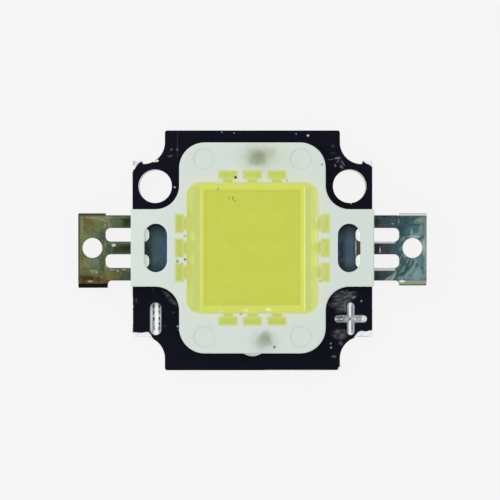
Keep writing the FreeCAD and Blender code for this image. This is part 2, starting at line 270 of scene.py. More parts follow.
def combine(tree, x, y, z=0.0):
    return put(tree, "ShaderNodeCombineXYZ", {"X": x, "Y": y, "Z": z}).outputs[0]


def separate(tree, vector):
    return put(tree, "ShaderNodeSeparateXYZ", {"Vector": vector}).outputs


def noise(tree, vector, size, detail, roughness=0.5):
    """The outputs of a noise whose lumps are about as large as size."""
    scale = calc(tree, "DIVIDE", 1.0, size)
    inputs = {"Vector": vector, "Scale": scale, "Detail": detail, "Roughness": roughness}
    return put(tree, "ShaderNodeTexNoise", inputs).outputs


def rise(tree, value, low, high, below=0.0, above=1.0):
    """0 below low and 1 above high, with a smooth slope between."""
    inputs = {"Value": value, "From Min": low, "From Max": high, "To Min": below, "To Max": above}
    return put(tree, "ShaderNodeMapRange", inputs, interpolation_type="SMOOTHSTEP").outputs["Result"]


def fall(tree, value, low, high):
    """1 below low and 0 above high, with a smooth slope between."""
    return rise(tree, value, low, high, below=1.0, above=0.0)


def either_side(tree, level, softness):
    """Where a slope that is centred on a level starts and ends."""
    return calc(tree, "SUBTRACT", level, softness), calc(tree, "ADD", level, softness)


def blend(tree, under, over, share):
    node = put(tree, "ShaderNodeMix", data_type="RGBA")
    fill(tree, node.inputs[0], share)
    fill(tree, node.inputs[6], under)
    fill(tree, node.inputs[7], over)
    return node.outputs[2]


def new_effect(name, inputs, output, output_kind="NodeSocketFloat"):
    """An empty node group: its tree, what it is given, and the socket for its result."""
    tree = bpy.data.node_groups.new(name, "ShaderNodeTree")
    for label, start in inputs.items():
        kind = "NodeSocketVector" if isinstance(start, tuple) else "NodeSocketFloat"
        tree.interface.new_socket(name=label, in_out="INPUT", socket_type=kind).default_value = start
    tree.interface.new_socket(name=output, in_out="OUTPUT", socket_type=output_kind)
    given = tree.nodes.new("NodeGroupInput").outputs
    result = tree.nodes.new("NodeGroupOutput").inputs[output]
    return tree, given, result


def effect(tree, name, **inputs):
    """Places a node group and returns its result. corner_radius=… fills the input "Corner radius"."""
    node = tree.nodes.new("ShaderNodeGroup")
    node.node_tree = bpy.data.node_groups[name]
    for label, value in inputs.items():
        fill(tree, node.inputs[label.replace("_", " ").capitalize()], value)
    return node.outputs[0]


# Effects that several finishes share

def make_soft_mark():
    """An oval spot or streak, placed and turned, with a soft edge."""
    inputs = {"Position": (0, 0, 0), "Centre": (0, 0, 0), "Along": 1.0, "Across": 1.0, "Deep": 1.0,
              "Turn": 0.0, "Softness": 0.3}
    tree, given, result = new_effect("Soft mark", inputs, "Mask")
    local = vector_calc(tree, "SUBTRACT", given["Position"], given["Centre"])
    cosine = calc(tree, "COSINE", given["Turn"])
    sine = calc(tree, "SINE", given["Turn"])
    lengthways = combine(tree, cosine, sine)
    sideways = combine(tree, calc(tree, "MULTIPLY", sine, -1.0), cosine)
    shares = []
    for direction, reach in ((lengthways, "Along"), (sideways, "Across"), ((0, 0, 1), "Deep")):
        travel = vector_calc(tree, "DOT_PRODUCT", local, direction, output="Value")
        shares.append(calc(tree, "DIVIDE", travel, given[reach]))
    distance = vector_calc(tree, "LENGTH", combine(tree, *shares), output="Value")
    tree.links.new(fall(tree, distance, *either_side(tree, 1.0, given["Softness"])), result)


def make_wandering():
    """The position pushed about by noise, so that what is drawn on it has an uneven outline."""
    inputs = {"Position": (0, 0, 0), "Size": 0.3, "Amount": 0.1}
    tree, given, result = new_effect("Wandering", inputs, "Moved", "NodeSocketVector")
    colour = noise(tree, given["Position"], given["Size"], detail=2.0)["Color"]
    push = vector_calc(tree, "SUBTRACT", colour, (0.5, 0.5, 0.5))
    step = scaled(tree, push, given["Amount"])
    tree.links.new(vector_calc(tree, "ADD", given["Position"], step), result)


def make_blotches():
    """Cloudy patches, such as stains or uneven plating."""
    inputs = {"Position": (0, 0, 0), "Size": 1.0, "Stretch": (1, 1, 1), "Cover": 0.5, "Softness": 0.15}
    tree, given, result = new_effect("Blotches", inputs, "Mask")
    stretched = vector_calc(tree, "MULTIPLY", given["Position"], given["Stretch"])
    cloud = noise(tree, stretched, given["Size"], detail=5.0, roughness=0.6)[0]
    level = calc(tree, "SUBTRACT", 1.0, given["Cover"])
    tree.links.new(rise(tree, cloud, *either_side(tree, level, given["Softness"])), result)


def make_scratches():
    """Fine parallel scratches that start and stop."""
    inputs = {"Position": (0, 0, 0), "Turn": 0.0, "Length": 3.0, "Width": 0.08, "Cover": 0.3, "Softness": 0.1}
    tree, given, result = new_effect("Scratches", inputs, "Mask")
    local = put(tree, "ShaderNodeMapping", {
        "Vector": given["Position"], "Rotation": combine(tree, 0.0, 0.0, given["Turn"]),
        "Scale": combine(tree, given["Length"], given["Width"], 1.0)}, vector_type="TEXTURE").outputs[0]
    streaks = noise(tree, local, 1.0, detail=3.0)[0]
    level = calc(tree, "SUBTRACT", 1.0, given["Cover"])
    tree.links.new(rise(tree, streaks, *either_side(tree, level, given["Softness"])), result)


def make_specks():
    """Small round specks, each of its own size, scattered over a surface."""
    inputs = {"Position": (0, 0, 0), "Spacing": 1.0, "Size": 0.08, "Share": 0.3}
    tree, given, result = new_effect("Specks", inputs, "Mask")
    scale = calc(tree, "DIVIDE", 1.0, given["Spacing"])
    cells = put(tree, "ShaderNodeTexVoronoi", {"Vector": given["Position"], "Scale": scale}).outputs
    chance = put(tree, "ShaderNodeSeparateColor", {"Color": cells["Color"]}).outputs
    distance = calc(tree, "MULTIPLY", cells["Distance"], given["Spacing"])
    size = calc(tree, "MULTIPLY", given["Size"], calc(tree, "ADD", chance["Green"], 0.3))
    spot = fall(tree, distance, calc(tree, "MULTIPLY", size, 0.5), size)
    chosen = calc(tree, "LESS_THAN", chance["Red"], given["Share"])
    tree.links.new(calc(tree, "MULTIPLY", spot, chosen), result)


def make_box_distance():
    """Distance from the edge of an upright rounded box, negative inside it."""
    inputs = {"Position": (0, 0, 0), "Middle": (0, 0, 0), "Half size": (1, 1, 0), "Corner radius": 0.1}
    tree, given, result = new_effect("Box distance", inputs, "Distance")
    offset = vector_calc(tree, "SUBTRACT", given["Position"], given["Middle"])
    folded = vector_calc(tree, "ABSOLUTE", vector_calc(tree, "MULTIPLY", offset, (1, 1, 0)))
    radius = given["Corner radius"]
    straight = vector_calc(tree, "SUBTRACT", given["Half size"], combine(tree, radius, radius))
    beyond = vector_calc(tree, "SUBTRACT", folded, straight)
    past_side = vector_calc(tree, "MULTIPLY", vector_calc(tree, "MAXIMUM", beyond), (1, 1, 0))
    outside = vector_calc(tree, "LENGTH", past_side, output="Value")
    sides = separate(tree, beyond)
    inside = calc(tree, "MINIMUM", calc(tree, "MAXIMUM", sides["X"], sides["Y"]), 0.0)
    tree.links.new(calc(tree, "SUBTRACT", calc(tree, "ADD", outside, inside), radius), result)


def make_key_distance():
    """Distance from the gel's keyed pockets, three to a side, negative inside them."""
    inputs = {"Position": (0, 0, 0), "Middle y": 0.0}
    tree, given, result = new_effect("Key distance", inputs, "Distance")
    sides = separate(tree, given["Position"])
    from_middle = calc(tree, "SUBTRACT", sides["Y"], given["Middle y"])
    far_x = calc(tree, "ABSOLUTE", sides["X"])
    far_y = calc(tree, "ABSOLUTE", from_middle)
    at_ends = calc(tree, "GREATER_THAN", far_x, far_y)
    outwards = calc(tree, "MAXIMUM", far_x, far_y)
    at_side = calc(tree, "SUBTRACT", 1.0, at_ends)
    sideways = calc(tree, "ADD", calc(tree, "MULTIPLY", from_middle, at_ends),
                    calc(tree, "MULTIPLY", sides["X"], at_side))
    nearest = calc(tree, "WRAP", sideways, KEY_PITCH / 2, -KEY_PITCH / 2)
    folded = combine(tree, outwards, nearest)
    head = (RIM_HALF + KEY_NECK, RIM_HALF + KEY_NECK + KEY_HEAD, KEY_HALF_WIDTH)
    neck = (RIM_HALF - KEY_NECK, RIM_HALF + KEY_NECK, NECK_HALF_WIDTH)
    distances = [
        effect(tree, "Box distance", position=folded, middle=((low + high) / 2, 0, 0),
               half_size=((high - low) / 2, half_width, 0), corner_radius=KEY_CORNER)
        for low, high, half_width in (head, neck)]
    nearer = calc(tree, "MINIMUM", *distances)
    beyond = calc(tree, "SUBTRACT", calc(tree, "ABSOLUTE", sideways), KEY_PITCH * 1.5)
    tree.links.new(calc(tree, "MAXIMUM", nearer, beyond), result)


def make_band():
    """1 between two values and 0 outside them, with soft ends."""
    inputs = {"Value": 0.0, "Low": 0.0, "High": 1.0, "Softness": 0.05}
    tree, given, result = new_effect("Band", inputs, "Mask")
    above = rise(tree, given["Value"], *either_side(tree, given["Low"], given["Softness"]))
    below = fall(tree, given["Value"], *either_side(tree, given["High"], given["Softness"]))
    tree.links.new(calc(tree, "MULTIPLY", above, below), result)


def make_grain():
    """Height of a fine grain, for a bump."""
    inputs = {"Position": (0, 0, 0), "Size": 0.05, "Stretch": (1, 1, 1)}
    tree, given, result = new_effect("Grain", inputs, "Height")
    stretched = vector_calc(tree, "MULTIPLY", given["Position"], given["Stretch"])
    tree.links.new(noise(tree, stretched, given["Size"], detail=3.0)[0], result)


EFFECTS = (
    make_soft_mark, make_wandering, make_blotches, make_scratches, make_specks,
    make_box_distance, make_key_distance, make_band, make_grain)


class Finish:
    """A material as it is painted: its coordinates in millimetres, and its colour and roughness so far."""

    def __init__(self, name, colour, roughness, metallic=0.0, top=0.0):
        self.material = bpy.data.materials.new(name)
        self.material.use_nodes = True
        self.tree = self.material.node_tree
        self.shader = self.tree.nodes["Principled BSDF"]
        coordinates = self.tree.nodes.new("ShaderNodeTexCoord").outputs["Object"]
        self.position = scaled(self.tree, coordinates, 1 / MILLIMETRE)
        self.x, self.y, self.z = separate(self.tree, self.position)
        self.top = top
        self.colour = colour
        self.roughness = roughness
        self.metallic = metallic
        self.height = 0.0

    def calc(self, operation, first, second=0.0, third=0.0):
        return calc(self.tree, operation, first, second, third)

    def both(self, first, second):
        return self.calc("MULTIPLY", first, second)

    def either(self, first, second):
        return self.calc("MAXIMUM", first, second)

    def no(self, mask):
        return self.calc("SUBTRACT", 1.0, mask)

    def mirrored(self, value):
        return self.calc("ABSOLUTE", value)

    def rise(self, value, low, high):
        return rise(self.tree, value, low, high)

    def fall(self, value, low, high):
        return fall(self.tree, value, low, high)

    def band(self, value, low, high, softness=0.05):
        return effect(self.tree, "Band", value=value, low=low, high=high, softness=softness)

    def patch(self, x_low, x_high, y_low, y_high, softness=0.05):
        """A soft-edged rectangle seen from above."""
        between_x = self.band(self.x, x_low, x_high, softness)
        return self.both(between_x, self.band(self.y, y_low, y_high, softness))

    def make(self, name, **inputs):
        return effect(self.tree, name, position=self.position, **inputs)

    def blotches(self, size, cover=0.5, softness=0.15, stretch=(1, 1, 1)):
        return self.make("Blotches", size=size, cover=cover, softness=softness, stretch=stretch)

    def grain(self, size, stretch=(1, 1, 1)):
        return self.make("Grain", size=size, stretch=stretch)

    def wandering(self, size, amount):
        """The position pushed about, for marks with uneven outlines."""
        return self.make("Wandering", size=size, amount=amount)

    def mark(self, x, y, along, across=None, turn=0.0, softness=0.3, deep=0.3, on=None, z=None):
        """A soft spot or streak on the top, or at another height z. Its turn is in degrees."""
        return effect(
            self.tree, "Soft mark", position=on or self.position, centre=(x, y, self.top if z is None else z),
            along=along, across=across or along, deep=deep, turn=math.radians(turn), softness=softness)

    def left_of(self, start, end, push=0.0, softness=0.03):
        """1 on the left of a line seen from above, for someone who walks from start to end."""
        along_x, along_y = end[0] - start[0], end[1] - start[1]
        length = math.hypot(along_x, along_y)
        across_x, across_y = -along_y / length, along_x / length
        distance = self.calc("ADD", self.calc("MULTIPLY", self.x, across_x),
                             self.calc("MULTIPLY_ADD", self.y, across_y, push))
        line = across_x * start[0] + across_y * start[1]
        return self.rise(distance, line - softness, line + softness)

    def rim_distance(self):
        return self.make("Box distance", middle=(0, GEL_MIDDLE_Y, 0), half_size=(RIM_HALF, RIM_HALF, 0),
                         corner_radius=RIM_CORNER)

    def key_distance(self):
        return self.make("Key distance", middle_y=GEL_MIDDLE_Y)

    def paint(self, colour, mask, strength=1.0):
        share = self.both(mask, strength) if strength != 1.0 else mask
        self.colour = blend(self.tree, self.colour, colour, share)

    def spots(self, colour, rows, softness=0.3, within=None, **placing):
        """Paints marks of one colour.

        A row is x, y, the reach along and the strength. The reach across
        and then the turn may come before the strength.
        """
        for x, y, *reach, strength in rows:
            spot = self.mark(x, y, *reach, softness=softness, **placing)
            self.paint(colour, self.both(spot, within) if within else spot, strength)

    def roughen(self, value, mask):
        self.roughness = self.mixed(self.roughness, value, mask)

    def plate(self, value, mask):
        self.metallic = self.mixed(self.metallic, value, mask)

    def raise_by(self, pattern, height):
        self.height = self.calc("MULTIPLY_ADD", pattern, height, self.height)

    def mixed(self, under, over, mask):
        node = put(self.tree, "ShaderNodeMix", data_type="FLOAT")
        fill(self.tree, node.inputs[0], mask)
        fill(self.tree, node.inputs[2], under)
        fill(self.tree, node.inputs[3], over)
        return node.outputs[0]

    def finish(self, bump_strength, **sockets):
        """Joins what was painted to the shader. Heights are in millimetres."""
        bump = put(self.tree, "ShaderNodeBump", {
            "Height": self.height, "Strength": bump_strength, "Distance": MILLIMETRE})
        painted = {"Base_Color": self.colour, "Roughness": self.roughness, "Metallic": self.metallic,
                   "Normal": bump.outputs["Normal"]}
        for label, value in (painted | sockets).items():
            fill(self.tree, self.shader.inputs[label.replace("_", " ")], value)
        return self.material


def dress(node_name, material):
    """Gives a CAD node its material."""
    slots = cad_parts[node_name].data.materials
    slots.clear()
    slots.append(material)


def new_piece(name, shape):
    """Makes a bmesh an object of the scene."""
    mesh = bpy.data.meshes.new(name)
    shape.to_mesh(mesh)
    shape.free()
    piece = bpy.data.objects.new(name, mesh)
    bpy.context.scene.collection.objects.link(piece)
    return piece


# Base plate

def rubbed_coat(paint, look):
    """Broken scratches beside the marks, at the minus corner's curve and between a notch and the frame."""
    loose = paint.wandering(0.4, 0.35)
    brushed = paint.make("Scratches", turn=math.radians(4), length=0.5, width=0.09, cover=0.47, softness=0.08)
    rubs = (
        (7.6, -3.8, 0.8, 0.36, 4, 0.75), (8.0, -3.52, 0.6, 0.09, 5, 0.7), (8.0, -3.86, 0.55, 0.08, 0, 0.7),
        (7.35, -4.45, 0.75, 0.3, 5, 0.75), (7.45, -4.95, 0.45, 0.2, 5, 0.6), (7.25, -7.0, 0.55, 0.4, 0, 0.45))
    for x, y, along, across, turn, strength in rubs:
        zone = paint.mark(x, y, along, across, turn, softness=0.6, on=loose)
        paint.paint(look.scuff, paint.both(zone, brushed), strength)
        paint.paint(shade(80, 81, 85), zone, strength * 0.6)
    paint.spots(look.scuff, (
        (8.42, -3.94, 0.13, 0.09, 0.8), (7.72, -4.7, 0.12, 0.4, 0.4), (7.1, -6.75, 0.2, 0.08, 10, 0.5),
        (7.4, -7.3, 0.14, 0.09, -40, 0.25), (6.9, -7.3, 0.1, 0.07, 0.35), (7.38, -7.75, 0.18, 0.12, -40, 0.3),
        (6.8, -8.87, 0.15, 0.08, 0.5), (7.12, 7.65, 0.24, 0.1, 5, 0.7), (7.55, 7.28, 0.22, 0.07, -50, 0.4),
        (7.42, 7.0, 0.18, 0.09, -50, 0.5), (6.93, 7.07, 0.1, 0.09, 0.6), (7.12, 7.4, 0.13, 0.08, 40, 0.35),
        (6.72, 8.13, 0.2, 0.06, 0.15), (6.5, 7.57, 0.2, 0.04, 0.4), (6.72, 8.7, 0.15, 0.12, 0.12),
        (-6.74, 8.4, 0.12, 0.1, -70, 0.35), (-6.25, 8.47, 0.1, 0.09, 0.5), (-6.85, 7.82, 0.25, 0.06, 0.25),
        (-9.67, -4.18, 0.15, 0.08, 90, 0.2), (-8.3, -3.27, 0.1, 0.07, 90, 0.1),
        (-6.55, -5.15, 0.14, 0.08, 10, 0.12), (-7.3, -6.3, 0.1, 0.08, 0.15),
    ), softness=0.6, on=loose)
    mottled = paint.blotches(0.16, 0.47, 0.2)
    paint.spots(look.scuff, (
        (-6.95, -3.9, 0.65, 0.15, -50, 0.55), (-6.5, -4.35, 0.26, 0.14, -55, 0.45),
        (-7.4, -3.4, 0.25, 0.08, -50, 0.35),
    ), softness=0.6, on=loose, within=mottled)
    broken = paint.blotches(0.4, 0.5, 0.2)
    hairline = paint.mark(-6.25, 8.8, 1.3, 0.04, 90, softness=0.4)
    paint.paint(shade(84, 87, 98), paint.both(hairline, broken), 0.5)


def nicked_coat(paint, look):
    """Nicks down to the metal, chipped corners and edges, and a toothed edge at the front."""
    paint.spots(look.bare_metal, (
        (4.63, 9.57, 0.085, 0.9), (-6.48, 5.26, 0.065, 0.9), (9.09, -4.22, 0.07, 0.4), (8.22, 3.9, 0.05, 0.7),
        (-2.54, 9.85, 0.05, 0.4), (-1.52, 9.78, 0.05, 0.4), (-6.22, -6.33, 0.08, 0.45),
        (-6.12, -6.6, 0.06, 0.5), (6.55, -8.1, 0.07, 0.55), (6.53, -7.76, 0.07, 0.35), (3.65, 9.7, 0.05, 0.4),
    ), softness=0.6)

    wave = paint.calc("MULTIPLY_ADD", paint.grain(0.5), 0.5, -0.25)
    back_left = paint.both(paint.left_of((-9.74, 6.9), (-9.24, 7.49), wave), paint.fall(paint.x, -8.9, -8.8))
    back_right = paint.both(paint.left_of((9.05, 7.64), (9.88, 7.04), wave), paint.rise(paint.x, 8.9, 9.0))
    front_left = paint.both(paint.left_of((-8.5, -6.85), (-10.0, -6.85), wave),
                            paint.left_of((-8.12, -7.47), (-8.6, -6.88), wave))
    front_left = paint.both(front_left, paint.fall(paint.x, -8.0, -7.9))
    front_right = paint.both(paint.left_of((9.97, -6.7), (8.6, -6.86), wave),
                             paint.left_of((8.66, -6.9), (8.38, -7.47), wave))
    chipped = paint.either(paint.either(back_left, back_right), paint.either(front_left, front_right))
    loose = paint.wandering(0.2, 0.12)
    for x, y, along, across in (
            (-7.95, 7.46, 0.12, 0.09), (-8.28, 7.42, 0.3, 0.045), (-9.98, 6.7, 0.05, 0.15),
            (-10.0, -5.2, 0.04, 1.9)):
        chipped = paint.either(chipped, paint.mark(x, y, along, across, softness=0.4, on=loose))
    teeth = paint.calc("SINE", paint.calc("MULTIPLY", paint.x, 2 * math.pi / TOOTH_PITCH))
    toothed = paint.fall(paint.calc("MULTIPLY_ADD", teeth, TOOTH_DEPTH, paint.y), -10.0, -9.97)
    chipped = paint.either(chipped, paint.both(toothed, paint.band(paint.x, 1.0, 7.25, 0.2)))
    paint.paint(look.chipped, chipped)
    dull = paint.blotches(0.25, 0.45, 0.15)
    paint.paint(shade(196, 198, 200), paint.both(chipped, dull), 0.6)
    at_back_left = paint.both(chipped, paint.mark(-9.75, 7.15, 0.45, 0.5, softness=0.6, on=loose))
    paint.paint(shade(150, 151, 152), paint.both(at_back_left, dull), 0.9)
    return chipped


def struck_marks(paint, look):
    """Grey grooves with painted highlights and painted shade lines. Returns where they are."""
    below_top = paint.both(paint.fall(paint.z, PLATE_TOP - 0.03, PLATE_TOP - 0.008),
                           paint.rise(paint.z, PLATE_TOP - 0.3, PLATE_TOP - 0.25))
    minus = paint.both(below_top, paint.patch(-8.8, -7.4, -7.15, -4.2))
    plus = paint.both(below_top, paint.patch(6.6, 9.7, -7.2, -4.2))
    struck = paint.either(minus, plus)
    paint.paint(look.groove, struck)
    rough = paint.blotches(0.16, 0.45, 0.2)
    paint.paint(shade(132, 134, 138), paint.both(struck, rough), 0.5)

    placing = {"z": PLATE_TOP - HALF_GROOVE, "on": paint.wandering(0.15, 0.09), "within": struck}
    # Painted highlights: bright lines down the grooves and at their ends
    paint.spots(WHITE, (
        (-8.0, -5.71, 1.32, 0.17, 90, 1), (-8.43, -5.7, 1.1, 0.06, 90, 1), (-7.6, -5.8, 1.1, 0.05, 90, 1),
        (-8.05, -6.85, 0.25, 0.22, 90, 1), (8.15, -4.95, 0.62, 0.13, 90, 1), (8.15, -6.45, 0.62, 0.14, 90, 1),
        (8.15, -4.45, 0.1, 0.16, 90, 1), (8.15, -6.95, 0.1, 0.2, 90, 1),
    ), **placing)
    # Painted highlights along the plus mark, in the chipped metal's colour
    paint.spots(look.chipped, (
        (6.97, -5.76, 0.19, 0.13, 0.8), (7.43, -5.72, 0.12, 0.07, 0.8), (9.3, -5.7, 0.26, 0.24, 0.8),
        (8.58, -5.7, 0.1, 0.09, 0.8),
    ), **placing)
    # Painted shade lines in the grooves
    paint.spots(look.groove_shadow, [(x, y, along, 0.085, turn, strength) for x, y, along, turn, strength in (
        (-8.24, -4.68, 0.21, 90, 1), (-8.24, -5.18, 0.21, 90, 0.95), (-8.24, -5.74, 0.2, 90, 1),
        (-8.22, -6.35, 0.35, 90, 0.5), (-7.76, -4.68, 0.2, 90, 1), (-7.76, -5.14, 0.16, 90, 0.7),
        (-7.76, -5.7, 0.15, 90, 1), (-7.76, -6.12, 0.14, 90, 0.95), (-7.76, -6.5, 0.2, 90, 0.8),
        (8.3, -5.0, 0.5, 90, 0.55), (8.3, -6.4, 0.45, 90, 0.55), (7.98, -5.1, 0.5, 90, 0.4),
        (7.98, -6.4, 0.5, 90, 0.3), (8.13, -5.72, 0.16, 40, 0.8), (7.35, -5.6, 0.4, 0, 0.6),
        (7.3, -5.88, 0.3, 0, 0.5), (9.05, -5.68, 0.06, 0, 0.6), (8.75, -5.65, 0.18, 10, 0.35),
    )], softness=0.4, **placing)
    paint.paint(look.coat, paint.both(minus, paint.rise(paint.x, -7.66, -7.58)))
    left_arm = paint.both(plus, paint.fall(paint.x, 7.7, 7.95))
    paint.paint(shade(84, 86, 90), paint.both(left_arm, rough), 0.7)
    return struck


def plate_finish(look):
    """Black coat with rubs, nicks and chips, bare metal with painted highlights and shade in the struck
    marks, and bare metal on the sheared walls.
    """
    paint = Finish("Black coated plate", look.coat, look.coat_roughness, top=PLATE_TOP)
    cloud = paint.blotches(1.6, 0.5, 0.25)
    paint.paint(look.coat_tint, cloud, 0.7)
    dust = paint.make("Specks", spacing=0.6, size=0.05, share=0.1)
    paint.paint(look.scuff, dust, 0.25)
    rubbed_coat(paint, look)
    chipped = nicked_coat(paint, look)
    struck = struck_marks(paint, look)

    # Sheared walls and the bare underside
    wall = paint.both(paint.fall(paint.z, PLATE_TOP - 0.13, PLATE_TOP - 0.1), paint.no(struck))
    paint.paint(look.bare_metal, wall)
    shear = paint.blotches(0.12, 0.5, 0.2, (1, 1, 0.12))
    paint.paint(shade(150, 150, 152), paint.both(wall, shear), 0.6)
    burnished = paint.both(wall, paint.fall(paint.z, 0.35, 0.5))
    paint.paint(shade(128, 126, 122), burnished, 0.5)
    under = paint.fall(paint.z, 0.01, 0.02)
    paint.paint(look.underside, under)
    stain = paint.blotches(3.0, 0.45, 0.2)
    paint.paint(shade(150, 140, 126), paint.both(under, stain), 0.5)
    rolling = paint.make("Scratches", turn=0.0, length=6.0, width=0.05, cover=0.45, softness=0.2)
    paint.paint(shade(204, 202, 196), paint.both(under, rolling), 0.5)

    metal = paint.either(wall, under)
    paint.plate(0.85, metal)
    paint.plate(0.15, paint.both(struck, paint.no(wall)))
    paint.plate(0.3, paint.both(chipped, paint.no(metal)))
    paint.roughen(0.34, paint.either(metal, struck))
    paint.raise_by(paint.grain(0.06), 0.004)
    paint.raise_by(paint.both(wall, shear), 0.02)
    return paint.finish(bump_strength=0.6, Specular_IOR_Level=0.05)


class LED_OT_dress_plate(bpy.types.Operator):
    """Gives the base plate its black coat, bare edges, struck marks and scuffs"""
    bl_idname = "cob_led.dress_plate"
    bl_label = "Base plate"

    def execute(self, context):
        dress("base_plate", plate_finish(context.scene.led_plate_look))
        return {"FINISHED"}


# Moulded frame

def gel_glow_and_wet_edge(paint, look):
    """Painted yellow glow that the gel casts on the plastic around the cavity and the keyed pockets, and a
    yellow edge where the plastic meets the gel.
    """
    paint.paint(look.gel_glow, paint.fall(paint.rim_distance(), 0.0, 0.9), 0.7)
    beside_keys = paint.key_distance()
    paint.paint(look.gel_glow, paint.fall(beside_keys, 0.0, 0.35), 0.6)
    wetted = paint.fall(paint.calc("MINIMUM", beside_keys, paint.rim_distance()), 0.0, 0.2)
    paint.paint(look.gel_stain, wetted, 0.8)
    paint.paint(shade(222, 226, 150), paint.fall(paint.rim_distance(), -0.03, 0.0), 0.5)


def smudges_and_dirt(paint, look):
    """Olive-grey smudges at the top and bottom middle, specks of dirt, and painted shade on the gate stub's
    left side.
    """
    ragged = paint.wandering(0.55, 0.7)
    yellowed = paint.mark(0.9, 7.6, 2.0, 1.1, softness=0.8, deep=4.0, on=ragged)
    paint.paint(shade(206, 214, 186), yellowed, 0.55)
    for softness, smudge_rows in (
            (0.8, ((0.5, 7.7, 1.2, 0.85, 0.35), (1.6, 8.1, 0.3, 0.25, 0.2), (0.95, -7.45, 0.9, 0.75, 0.4))),
            (0.7, ((0.45, 7.7, 0.72, 0.6, 0.5), (0.5, 7.75, 0.4, 0.42, 0.75), (0.15, 7.4, 0.4, 0.3, 0.35),
                   (0.95, 7.3, 0.2, 0.35, 0.3), (1.1, -7.05, 0.28, 0.55))),
            (0.6, ((1.0, -7.35, 0.5, 0.55),))):
        paint.spots(look.smudge, smudge_rows, softness=softness, deep=4.0, on=ragged)

    uneven = paint.wandering(0.12, 0.06)
    paint.spots(look.speck, (
        (-5.54, -0.74, 0.11, 0.9), (-6.16, -0.89, 0.13, 0.7), (-5.54, 1.16, 0.12, 0.4),
        (-0.95, -5.22, 0.1, 0.5), (5.55, -2.52, 0.09, 0.5), (2.85, 5.75, 0.1, 0.4), (5.7, 7.05, 0.09, 0.6),
        (3.05, 5.4, 0.08, 0.4), (1.8, -7.94, 0.11, 0.95),
    ), softness=0.5, on=uneven)
    paint.spots(DARK_DIRT, (DIRT_AT_RIM,), on=uneven)
    dust = paint.make("Specks", spacing=1.6, size=0.05, share=0.25)
    paint.paint(look.speck, dust, 0.25)
    # Painted shade on the gate stub's left side, broken up by blotches
    gate = paint.both(paint.patch(-0.8, -0.2, -9.4, -8.53), paint.fall(paint.z, 1.7, 1.9))
    paint.paint(shade(120, 124, 126), paint.both(gate, paint.blotches(0.2, 0.55)), 0.6)


def frame_finish(look):
    """White plastic with a fine eroded texture, olive-grey smudges at the top and bottom middle, and a
    painted yellow glow beside the gel.
    """
    paint = Finish("White moulded plastic", look.plastic, look.plastic_roughness, top=FRAME_TOP)
    # Painted light: the minus side is lighter, as it lies nearer the lamp
    painted_lit_side = paint.fall(paint.x, -8.5, -5.0)
    paint.paint(look.plastic_near_light, painted_lit_side)
    cloud = paint.blotches(2.4, 0.5, 0.3)
    paint.paint(shade(220, 221, 222), cloud, 0.5)
    greenish = paint.blotches(1.1, 0.42, 0.22)
    paint.paint(shade(209, 223, 207), greenish, 0.4)

    gel_glow_and_wet_edge(paint, look)
    smudges_and_dirt(paint, look)

    paint.raise_by(paint.grain(0.07), 0.006)
    paint.raise_by(paint.grain(1.6, (0.4, 1, 1)), 0.01)
    paint.roughen(0.62, cloud)

    sunk = paint.fall(paint.z, 2.1, 2.6)
    # Painted shade on the sunken plastic at the minus window's outer end
    shaded = paint.both(paint.patch(-9.2, -8.72, -2.2, 2.6, 0.12), sunk)
    paint.paint(shade(176, 186, 170), shaded, 0.7)

    # Sink marks, ringed by a faint painted shade
    folded = combine(paint.tree, paint.mirrored(paint.x), paint.y)
    on_top = paint.rise(paint.z, FRAME_TOP - 0.08, FRAME_TOP - 0.07)
    for middle_y in SINK_MARKS_Y:
        sink = effect(paint.tree, "Box distance", position=folded, middle=(SINK_MARK_X, middle_y, 0),
                      half_size=(SINK_MARK_RADIUS, SINK_MARK_RADIUS, 0), corner_radius=SINK_MARK_RADIUS)
        sink_ring_shade = paint.both(paint.band(sink, -0.07, 0.03, 0.04), on_top)
        paint.paint(shade(186, 198, 190), sink_ring_shade, 0.22)

    # Painted glow: emission lightens the sunken plastic in each window, against the shade of the window's
    # walls
    window = effect(paint.tree, "Box distance", position=folded, middle=(WINDOW_X, FRAME_MIDDLE_Y, 0),
                    half_size=WINDOW_HALF, corner_radius=WINDOW_CORNER)
    in_window = paint.both(paint.fall(window, 0.05, 0.15), sunk)
    glow = blend(paint.tree, (0, 0, 0), shade(126, 132, 126), in_window)
    return paint.finish(bump_strength=0.5, Specular_IOR_Level=0.4, Subsurface_Weight=0.12,
                        Subsurface_Radius=(0.5, 0.5, 0.45), Subsurface_Scale=MILLIMETRE,
                        Emission_Color=glow, Emission_Strength=1.0)


class LED_OT_dress_frame(bpy.types.Operator):
    """Gives the moulded frame its white plastic, smudges and specks, and its painted light and shade"""
    bl_idname = "cob_led.dress_frame"
    bl_label = "Moulded frame"

    def execute(self, context):
        dress("moulded_frame", frame_finish(context.scene.led_frame_look))
        return {"FINISHED"}


# Leads

def lead_edges(paint, look):
    """Pale sheared walls that both leads share."""
    wall = paint.band(paint.z, LEAD_BOTTOM + 0.02, LEAD_TOP - 0.012, 0.006)
    streaks = paint.blotches(0.1, 0.5, 0.2, (1, 1, 0.2))
    paint.paint(look.lip, wall, 0.8)
    paint.paint(shade(96, 98, 84), paint.both(wall, streaks), 0.6)
    paint.raise_by(paint.grain(0.05, (0.3, 1, 1)), 0.004)
    paint.raise_by(streaks, 0.003)


def stains_and_painted_light(paint, patches, loose):
    """Paints stains, painted highlights and painted shade, a table of spots for each colour."""
    for colour, stains in patches:
        paint.spots(colour, stains, softness=0.55, on=loose)


